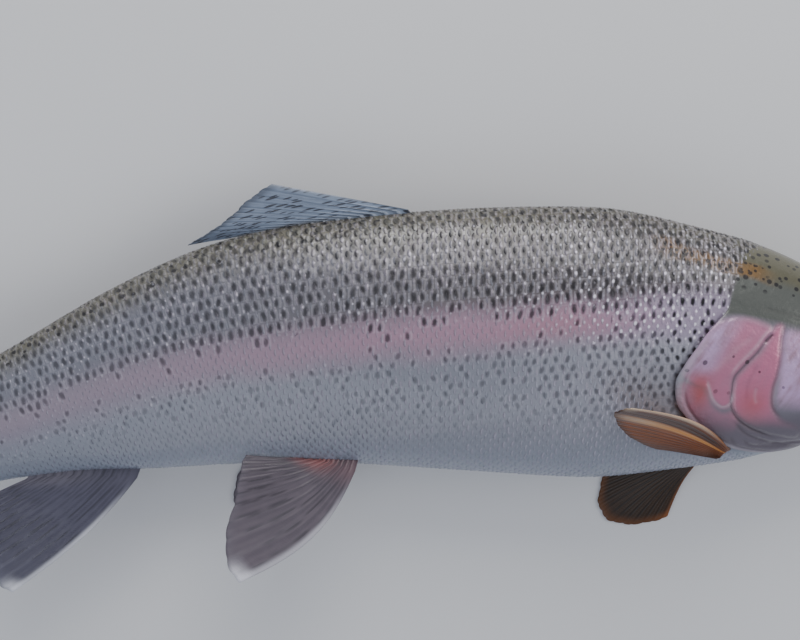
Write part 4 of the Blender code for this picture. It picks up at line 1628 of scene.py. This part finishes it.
@dataclass(frozen=True)
class FinFinish:
    """Colours of a fin: its web, its rays, its free edge and leading edge, its flesh at the base and its spots."""

    name: str
    web: Colour
    ray: Colour
    edge: Colour
    lead: Colour
    base: Colour
    spot: Colour = srgb(40, 40, 48)
    edge_strength: float = 0.3
    lead_strength: float = 0.5
    spots: float = 0.0
    streaks: float = 0.0
    tip: float = 0.0
    shade: float = 0.0
    clear: float = 0.25
    foot: float = 0.013
    foot_even: float = 0.2

    @cache
    def material(self) -> bpy.types.Material:
        """The finish, from the map Rays: ray number, then share of the way out; and the attribute fan.

        Returns:
            The material, the same one for every fin that wears it.
        """
        s = Sheet(self.name)
        u, v, _ = s.split(s.flat_map("Rays"))
        q, reach, far = s.attribute("fan")
        place = s.place()
        soft = s.noise(place, 240.0, 4.0)
        comb = abs(u - u.whole())
        split = v.rise(0.35, 0.80)
        branches = 1 - abs(comb - 0.25 * split).rise(0.05, 0.16)
        ribs = (1 - comb.rise(0.10, 0.22)) * (1 - split * 0.5) + branches * split * 0.6
        colour = s.blend(ribs * 0.7, self.web, self.ray)
        colour = s.tint(0.5, colour, s.blend(soft, (0.62, 0.60, 0.62, 1), (1.25, 1.22, 1.2, 1)))
        foot = self.foot_even + q.rise(0.25, 0.7, 0.65)
        colour = s.blend((1 - reach.rise(self.foot * 0.2, self.foot)) * foot, colour, self.base)
        if self.streaks:
            web = comb.rise(0.22, 0.42)
            luck = s.noise(s.join(u.whole() * 3.7, v * 2.6), 1.7, 1.0)
            colour = s.blend(web * luck.rise(0.40, 0.62) * self.streaks, colour, self.spot)
        if self.spots:
            laid = s.join(u * 1.15, reach * 620)
            colour = s.blend(s.speckles(laid, 0.62, self.spots, 0.36) * 0.9, colour, self.spot)
        if self.shade:
            band = q.rise(0.03, 0.09) * (1 - q.rise(0.20, 0.26)) * v.rise(0.05, 0.25)
            colour = s.blend(band * self.shade, colour, self.spot)
            stripe = (1 - abs(q - 0.29).rise(0.015, 0.085)) * v.rise(-0.1, 0.1) * (1 - v.rise(0.7, 1.0) * 0.5)
            colour = s.blend(stripe * self.shade, colour, s.blend(v.rise(0.5, 1.0), srgb(214, 148, 76), self.lead))
            colour = s.blend(q.rise(0.50, 1.0, 0.75) * self.shade, colour, self.spot)
        edge = v.rise(0.90, 0.995)
        colour = s.blend(edge * self.edge_strength, colour, self.edge)
        lead = (1 - q.rise(0.010, 0.055)) * v.rise(0.05, 0.5)
        colour = s.blend(lead * self.lead_strength, colour, self.lead)
        if self.tip:
            corner = (1 - q.rise(0.03, 0.17)) * v.rise(0.88, 0.98)
            colour = s.blend(corner * self.tip * (0.55 + soft * 0.7), colour, self.lead)
        joints = abs((far * 1100.0) - (far * 1100.0).whole()).rise(0.36, 0.5) * ribs
        thin = (1 - ribs) * v.rise(0.15, 0.7) * (1 - lead)
        wires = {"Base Color": colour, "Roughness": 0.30 + soft * 0.15, "Alpha": 1 - thin * self.clear,
                 "Coat Weight": 0.25, "Coat Roughness": 0.15, "IOR": 1.40}
        return s.finish(wires, soft * 0.6 - joints, 0.00010)


DUSKY = FinFinish("dusky_fin", srgb(134, 150, 174), srgb(112, 126, 148), srgb(56, 60, 70), srgb(168, 176, 190),
                  srgb(112, 114, 118), srgb(52, 54, 64), edge_strength=0.6, lead_strength=0.35, spots=0.62, clear=0.22)
TAIL_FINISH = FinFinish("tail_web", srgb(104, 102, 104), srgb(90, 86, 86), srgb(52, 46, 48), srgb(100, 84, 82),
                        srgb(126, 126, 136), edge_strength=0.6, lead_strength=0.3, spots=0.80, clear=0.12,
                        foot=0.022, foot_even=1.0)
FATTY = FinFinish("fatty_fin", srgb(104, 102, 90), srgb(104, 102, 90), srgb(30, 30, 32), srgb(40, 40, 40),
                  srgb(104, 102, 94), edge_strength=0.9, lead_strength=0.8, clear=0.0)
# The anal fin: web and rays darker and bluer, partly painted shade of the water, with pale tips and leading edge
PALE = FinFinish("pale_fin", srgb(88, 88, 106), srgb(76, 76, 92), srgb(120, 122, 138), srgb(226, 228, 238),
                 srgb(110, 106, 118), edge_strength=0.25, lead_strength=0.7, streaks=0.6, tip=0.9, clear=0.25)
ROSY = FinFinish("rosy_fin", srgb(106, 98, 108), srgb(88, 82, 92), srgb(126, 122, 134), srgb(226, 226, 236),
                 srgb(166, 106, 104), edge_strength=0.2, lead_strength=0.55, streaks=0.55, tip=0.95, clear=0.22)
AMBER = FinFinish("amber_web", srgb(118, 56, 20), srgb(148, 90, 42), srgb(66, 36, 26), srgb(206, 184, 158),
                  srgb(112, 70, 50), srgb(44, 24, 22), edge_strength=0.7, lead_strength=0.7, streaks=0.6, tip=0.5,
                  shade=0.8, clear=0.06)
# The left pectoral fin: the amber fin's colours painted as if in shade, dark brown, with an orange painted highlight
# at its edges
AMBER_IN_PAINTED_SHADE = FinFinish("umber_web", srgb(36, 20, 6), srgb(62, 38, 12), srgb(150, 88, 38), srgb(170, 98, 40),
                  srgb(52, 38, 28), srgb(18, 11, 8), edge_strength=0.3, lead_strength=0.3, streaks=0.5, tip=0.2,
                  clear=0.04)


@dataclass(frozen=True)
class Fin:
    """A fan of rays from a base line on the skin to a free edge.

    stations and angles place the roots of the first and the last ray. first and last are those rays'
    directions: degrees from the tail direction towards the back, then towards the right. lengths are those
    of the first ray, of one a seventh of the way on, of the middle one and of the last. sag bellies the blade
    to the right, bow curves the first rays forward, and a fin with on_floor set lies on the floor.
    """

    name: str
    stations: tuple[float, float]
    angles: tuple[float, float]
    first: tuple[float, float]
    last: tuple[float, float]
    lengths: tuple[float, ...]
    rays: int
    finish: FinFinish
    slot: str = "fin_skin"
    sag: float = 0.0
    bow: float = 0.0
    on_floor: bool = False
    wave: float = 0.0004
    notch: float = 0.008
    base_thickness: float = 0.0026
    edge_thickness: float = 0.00036
    per_ray: int = 9
    rib_height: float = 0.00010
    steps: int = 44
    inset: float = 0.003
    floor_height: float = 0.00065

    def direction(self, lean: Array, out: Array) -> Array:
        """Unit vectors lean degrees from the tail direction towards the back, out degrees to the right.

        Args:
            lean: degrees.
            out: degrees.

        Returns:
            The vectors.
        """
        tail, back, right = FORM.directions(self.stations[0])
        lean, out = np.radians(lean)[..., None], np.radians(out)[..., None]
        return (tail * np.cos(lean) + back * np.sin(lean)) * np.cos(out) + right * np.sin(out)

    def ray(self, q: Array) -> tuple[Array, Array, Array]:
        """Roots, directions and lengths of the rays at shares q across the fan.

        Args:
            q: 0 at the first ray, 1 at the last.

        Returns:
            Three arrays, the lengths in metres.
        """
        root = FORM.surface(mix(*self.stations, q), mix(*self.angles, q))
        way = self.direction(mix(self.first[0], self.last[0], q), mix(self.first[1], self.last[1], q))
        return root, way, smooth_through(q, (0.0, 0.14, 0.5, 1.0), self.lengths)

    def inward(self, q: Array, r: Array) -> Array:
        """What draws the foot of each ray under the skin.

        Args:
            q: 0 at the first ray, 1 at the last.
            r: 0 at the foot, 1 at the edge.

        Returns:
            Steps to add.
        """
        normal = FORM.normal(mix(*self.stations, q), mix(*self.angles, q))
        return -normal * (self.inset * (1 - rise(r, 0.0, 0.07)))[..., None]

    def middle(self, q: Array, r: Array) -> Array:
        """The fin's middle sheet at shares q across and r out.

        Args:
            q: 0 at the first ray, 1 at the last.
            r: 0 at the foot, 1 at the edge.

        Returns:
            World points.
        """
        root, way, length = self.ray(q)
        tail, back, right = FORM.directions(self.stations[0])
        comb = np.abs(q * self.rays - np.round(q * self.rays)) * 2
        ragged = 1 - self.notch * comb**2 + 0.006 * np.sin(q * self.rays * 2.3)
        point = root + way * (length * r * mix(1.0, ragged, rise(r, 0.6, 1.0)))[..., None] + self.inward(q, r)
        forward = -tail * 0.7 + back * math.copysign(0.7, self.first[0])
        point = point + forward * (self.bow * np.sin(np.pi * r) * (1 - q) ** 2)[..., None]
        swell = self.sag * np.sin(np.pi * q) * r
        if not self.on_floor:
            swell = swell + self.wave * r * np.sin(q * 9.0 + 2.0 * r) + 0.00016 * r * (comb - 0.5)
        point = point + right * swell[..., None]
        if self.on_floor:
            drop = r * (1.7 - 0.7 * r)
            point[..., 2] = point[..., 2] * (1 - drop) + self.floor_height * drop
        return point

    def half_thickness(self, q: Array, r: Array) -> Array:
        """Half the fin's thickness, with its rays standing out of the web and splitting towards the edge.

        Args:
            q: 0 at the first ray, 1 at the last.
            r: 0 at the foot, 1 at the edge.

        Returns:
            Metres.
        """
        body = self.edge_thickness + (self.base_thickness - self.edge_thickness) * (1 - r) ** 2.2
        phase = q * self.rays - np.round(q * self.rays)
        split = rise(r, 0.35, 0.80) * 0.25
        rib = np.exp(-((np.abs(np.abs(phase) - split) / mix(0.20, 0.11, r)) ** 2))
        lead = np.exp(-((q * self.rays / 0.9) ** 2)) * 0.5
        stands = self.rib_height * (rib + lead) * rise(r, 0.04, 0.14) * (1 - 0.55 * r)
        return body / 2 * (0.70 + 0.30 * rib) + stands

    def build(self) -> Shape:
        """The fin's closed shape.

        Returns:
            The fin, with the map and the attribute that its finish reads.
        """
        q, r = np.meshgrid(np.linspace(0, 1, self.rays * self.per_ray + 1),
                           np.linspace(0, 1, self.steps) ** 0.9, indexing="ij")
        points = self.middle(q, r)
        across, along = np.gradient(points, axis=(0, 1))
        normals = np.cross(across, along)
        normals /= np.maximum(np.linalg.norm(normals, axis=2, keepdims=True), TINY)
        offset = normals * self.half_thickness(q, r)[..., None]
        rows, columns = q.shape
        top, under = points + offset, points - offset
        if self.on_floor:
            for face in (top, under):
                face[..., 2] = np.maximum(face[..., 2], 0.0001)
        faces = grid_faces(rows, columns)
        faces += [face[::-1] for face in grid_faces(rows, columns, rows * columns)]
        place = np.arange(rows * columns).reshape(rows, columns)
        rim = [*place[0], *place[1:, -1], *place[-1, -2::-1], *place[-2:0:-1, 0]]
        rim = [int(corner) for corner in rim]
        faces += [(b, a, rows * columns + a, rows * columns + b) for a, b in zip(rim, rim[1:] + rim[:1])]
        reach = r * self.ray(q)[2]

        def both(upper: Array, lower: Array) -> Array:
            """What belongs to the upper face's points, then to the lower's."""
            return np.vstack((upper.reshape(-1, upper.shape[-1]), lower.reshape(-1, lower.shape[-1])))

        laid, fan = np.stack((q * self.rays, r), -1), np.stack((q, reach, reach), -1)
        return Shape(both(top, under), faces, {"Rays": both(laid, laid)}, {"fan": both(fan, fan)}).outward()

    def dress(self) -> None:
        """Adds the fin in place of its solid."""
        settle(self.build().piece(self.name + "_web", self.finish.material()), self.slot, self.name)


@dataclass(frozen=True)
class TailFin(Fin):
    """The tail fin: rays fan out evenly from the end of the tail stem, shortest in the fork."""

    half_fan: float = 31.0
    outer_ray: float = 0.054
    fork_ray: float = 0.036

    def ray(self, q: Array) -> tuple[Array, Array, Array]:
        """Rays from the edge of the tail stem's end.

        Args:
            q: 0 at the upper ray, 1 at the lower.

        Returns:
            Roots, directions and lengths.
        """
        across = 1.0 - 2.0 * q
        root = FORM.place(1.0 + 0 * q, across * FORM.station(1.0)[0] * 0.93, 0.0 * q)
        length = self.fork_ray + (self.outer_ray - self.fork_ray) * np.abs(across) ** 1.5
        length = length * (1.0 - 0.8 * np.maximum(0.0, np.abs(across) - 0.88))
        return root, self.direction(self.half_fan * across, 0.0 * q), length

    def inward(self, q: Array, r: Array) -> Array:
        """The rays start a little inside the stem."""
        return -FORM.directions(1.0)[0] * (0.004 * (1 - rise(r, 0.0, 0.1)))[..., None]


FINS = (
    Fin("dorsal_fin", (0.470, 0.605), (0, 0), (11, 0), (-11, 0), (0.0495, 0.0475, 0.0370, 0.0225),
        13, DUSKY, sag=0.002),
    Fin("adipose_fin", (0.842, 0.866), (0, 0), (42, 0), (4, 0), (0.0088, 0.0112, 0.0122, 0.0058),
        1, FATTY, per_ray=32, base_thickness=0.0030, edge_thickness=0.0009, notch=0.0, wave=0.0),
    Fin("anal_fin", (0.746, 0.846), (180, 180), (-26, 4), (-8, 4), (0.0610, 0.0585, 0.0410, 0.0220),
        11, PALE, sag=0.002, bow=0.003),
    Fin("pelvic_fin_right", (0.527, 0.572), (160, 162), (-41, 16), (10, 12), (0.0575, 0.0545, 0.0370, 0.0240),
        10, ROSY, bow=0.007),
    Fin("pelvic_fin_left", (0.520, 0.566), (200, 194), (-34, 0), (-4, 0), (0.0465, 0.0500, 0.0420, 0.0220),
        10, ROSY, on_floor=True),
    Fin("pectoral_fin_right", (0.179, 0.188), (148, 152), (26, 40), (5, 18), (0.0580, 0.0585, 0.0475, 0.0245),
        13, AMBER, slot="amber_fin_skin", bow=0.0045),
    Fin("pectoral_fin_left", (0.180, 0.193), (210, 199), (-67, 0), (-22, 0), (0.0350, 0.0395, 0.0465, 0.0355),
        13, AMBER_IN_PAINTED_SHADE, slot="amber_fin_skin", bow=-0.0025, on_floor=True),
    TailFin("tail_fin", (1.0, 1.0), (0, 0), (0, 0), (0, 0), (0, 0, 0, 0),
            19, TAIL_FINISH, per_ray=8, base_thickness=0.0036),
)


# Eyes


@dataclass(frozen=True)
class Eye:
    """A domed eye with a pupil that comes to a point in front."""

    side: Side
    radius: float = 0.0061
    dome: float = 0.0023
    sink: float = 0.0012
    depth: float = 0.0030
    lens: float = 0.00022
    rings: int = 26
    turns: int = 72

    def material(self) -> bpy.types.Material:
        """The iris and pupil, from the map Iris: places forward and up, in radii.

        Returns:
            The material.
        """
        s = Sheet(f"eye_{self.side.name.lower()}")
        x, y, _ = s.split(s.flat_map("Iris"))
        far = (x * x + y * y).root()
        ahead = x / far.most(0.001)
        pupil = 0.41 + ahead.rise(0.55, 1.0, 0.15)
        hue = s.noise(s.join(x * 2, y * 2, far * 5), 2.6, 4.0)
        threads = s.noise(s.join(ahead * 6, y / far.most(0.001) * 6, far * 1.2), 5.0, 3.0)
        iris = s.blend(hue.rise(0.35, 0.65), srgb(136, 120, 74), srgb(168, 160, 142))
        iris = s.tint(0.7, iris, s.blend(threads, (0.30, 0.28, 0.25, 1), (1.2, 1.15, 1.05, 1)))
        dusk = y.rise(0.15, 0.75, 0.75).most(abs(y + 0.1).rise(0.22, 0.0, 0.45))
        iris = s.blend(dusk.most(far.rise(0.80, 0.97, 0.9)), iris, srgb(34, 30, 26))
        iris = s.blend((1 - abs(far - pupil - 0.035).rise(0.005, 0.035)) * 0.8, iris, srgb(206, 160, 84))
        colour = s.blend(1 - far.rise(pupil - 0.02, pupil + 0.02), iris, srgb(5, 6, 9))
        metal = far.rise(pupil, pupil + 0.03, 0.55)
        return s.finish({"Base Color": colour, "Metallic": metal, "Roughness": 0.22, "Coat Weight": 1.0,
                         "Coat Roughness": 0.02, "IOR": 1.38})

    def build(self) -> Shape:
        """The eye's closed shape, set in its socket.

        Returns:
            The eye, with the map that its finish reads.
        """
        angle = self.side.value * math.degrees(math.acos(HEAD.eye_height))
        station = np.array([HEAD.eye_station])
        out = FORM.normal(station, np.array([angle]))[0]
        centre = FORM.surface(station, np.array([angle]))[0] - out * self.sink
        ahead = -FORM.directions(HEAD.eye_station)[0]
        ahead = ahead - out * (ahead @ out)
        ahead /= np.linalg.norm(ahead)
        up = np.cross(out, ahead) * self.side.value
        up = up if up @ FORM.directions(HEAD.eye_station)[1] > 0 else -up
        share = np.linspace(0, 1, self.rings)
        ring = np.concatenate((share, 1 - share[1:-1] * 0.999))
        lens = self.lens * (1 - rise(share, 0.25, 0.42))
        front = self.dome * np.sqrt(np.maximum(1 - share**2, 0)) ** 0.9 + lens
        back = -self.depth * np.sqrt(np.maximum(1 - (1 - share[1:-1]) ** 2, 0))
        height = np.concatenate((front, back))
        turn = np.linspace(0, math.tau, self.turns, endpoint=False)
        x, y = np.outer(ring, np.cos(turn)), np.outer(ring, np.sin(turn))
        points = centre + (x[..., None] * ahead + y[..., None] * up) * self.radius + height[:, None, None] * out
        rows = len(ring)
        faces = grid_faces(rows, self.turns, around=True)
        faces += [tuple((rows - 1) * self.turns + j for j in range(self.turns))]
        laid = np.stack((x, y), -1).reshape(-1, 2)
        return Shape(points.reshape(-1, 3), faces, {"Iris": laid}).outward()

    def dress(self) -> None:
        """Adds the eye in place of its solid."""
        word = self.side.name.lower()
        settle(self.build().piece(f"eyeball_{word}", self.material()), "eye", f"eye_{word}")


# Studio


@dataclass(frozen=True)
class Lamp:
    """A soft square light: its place, its side in metres, its power in watts and its tone."""

    name: str
    place: tuple[float, float, float]
    size: float
    power: float
    tone: tuple[float, float, float]

    def hang(self, target: tuple[float, float, float]) -> None:
        """Adds the light, turned towards a target.

        Args:
            target: what it faces.
        """
        lamp = bpy.data.lights.new(self.name, "AREA")
        lamp.size, lamp.energy, lamp.color = self.size, self.power, self.tone
        made = bpy.data.objects.new(self.name, lamp)
        made.location = self.place
        made.rotation_euler = (Vector(target) - Vector(self.place)).to_track_quat("-Z", "Y").to_euler()
        bpy.context.scene.collection.objects.link(made)


@dataclass(frozen=True)
class Studio:
    """A plain pale floor, soft lights and the camera."""

    target: tuple[float, float, float] = (0.0295, 0.0297, 0.0232)
    tilt: float = 10.0
    distance: float = 0.75
    field: float = 0.271
    sensor_mm: float = 36.0
    floor_size: float = 8.0
    sky: Colour = (0.86, 0.90, 1.0, 1.0)
    sky_strength: float = 0.45
    lamps: tuple[Lamp, ...] = (
        Lamp("key", (0.15, 1.10, 0.62), 0.9, 9.0, (1.0, 0.98, 0.95)),
        Lamp("back_light", (0.05, 1.20, 0.16), 0.4, 3.0, (1.0, 1.0, 1.0)),
        Lamp("fill", (-0.5, -0.8, 0.9), 1.2, 4.0, (0.90, 0.94, 1.0)),
        Lamp("head_light", (1.1, 0.2, 0.7), 0.7, 4.0, (1.0, 0.97, 0.94)),
    )

    def build(self) -> None:
        """Adds the floor, the lights and the camera."""
        s = Sheet("pale_floor")
        grain = s.noise(s.place(), 6.0, 3.0)
        finish = s.finish({"Base Color": s.blend(grain, srgb(226, 227, 230), srgb(234, 235, 237)), "Roughness": 0.85})
        h = self.floor_size / 2
        corners = np.array(((-h, -h, 0), (h, -h, 0), (h, h, 0), (-h, h, 0)), float)
        floor = Shape(corners, [(0, 1, 2, 3)]).piece("floor", finish)
        world = bpy.data.worlds.new("studio")
        world.use_nodes = True
        glow = world.node_tree.nodes["Background"].inputs
        glow["Color"].default_value, glow["Strength"].default_value = self.sky, self.sky_strength
        bpy.context.scene.world = world
        for lamp in self.lamps:
            lamp.hang(self.target)
        camera = bpy.data.cameras.new("camera")
        camera.sensor_width = self.sensor_mm
        camera.lens = self.sensor_mm * self.distance / self.field
        camera.clip_start = 0.01
        lean = math.radians(self.tilt)
        back = Vector((0.0, math.sin(lean), math.cos(lean)))
        up = Vector((0.0, math.cos(lean), -math.sin(lean)))
        side = up.cross(back)
        made = bpy.data.objects.new("camera", camera)
        turn = Matrix((side, up, back)).transposed().to_4x4()
        made.matrix_world = Matrix.Translation(Vector(self.target) + back * self.distance) @ turn
        bpy.context.scene.collection.objects.link(made)
        bpy.context.scene.camera = made


def main() -> None:
    """Dresses the whole fish and sets it in the studio."""
    logging.basicConfig(level=logging.INFO, format="%(name)s: %(message)s")
    Skin().dress()
    Scales().dress()
    for fin in FINS:
        fin.dress()
    for side in Side:
        Eye(side).dress()
    Studio().build()


if __name__ == "__main__":
    main()
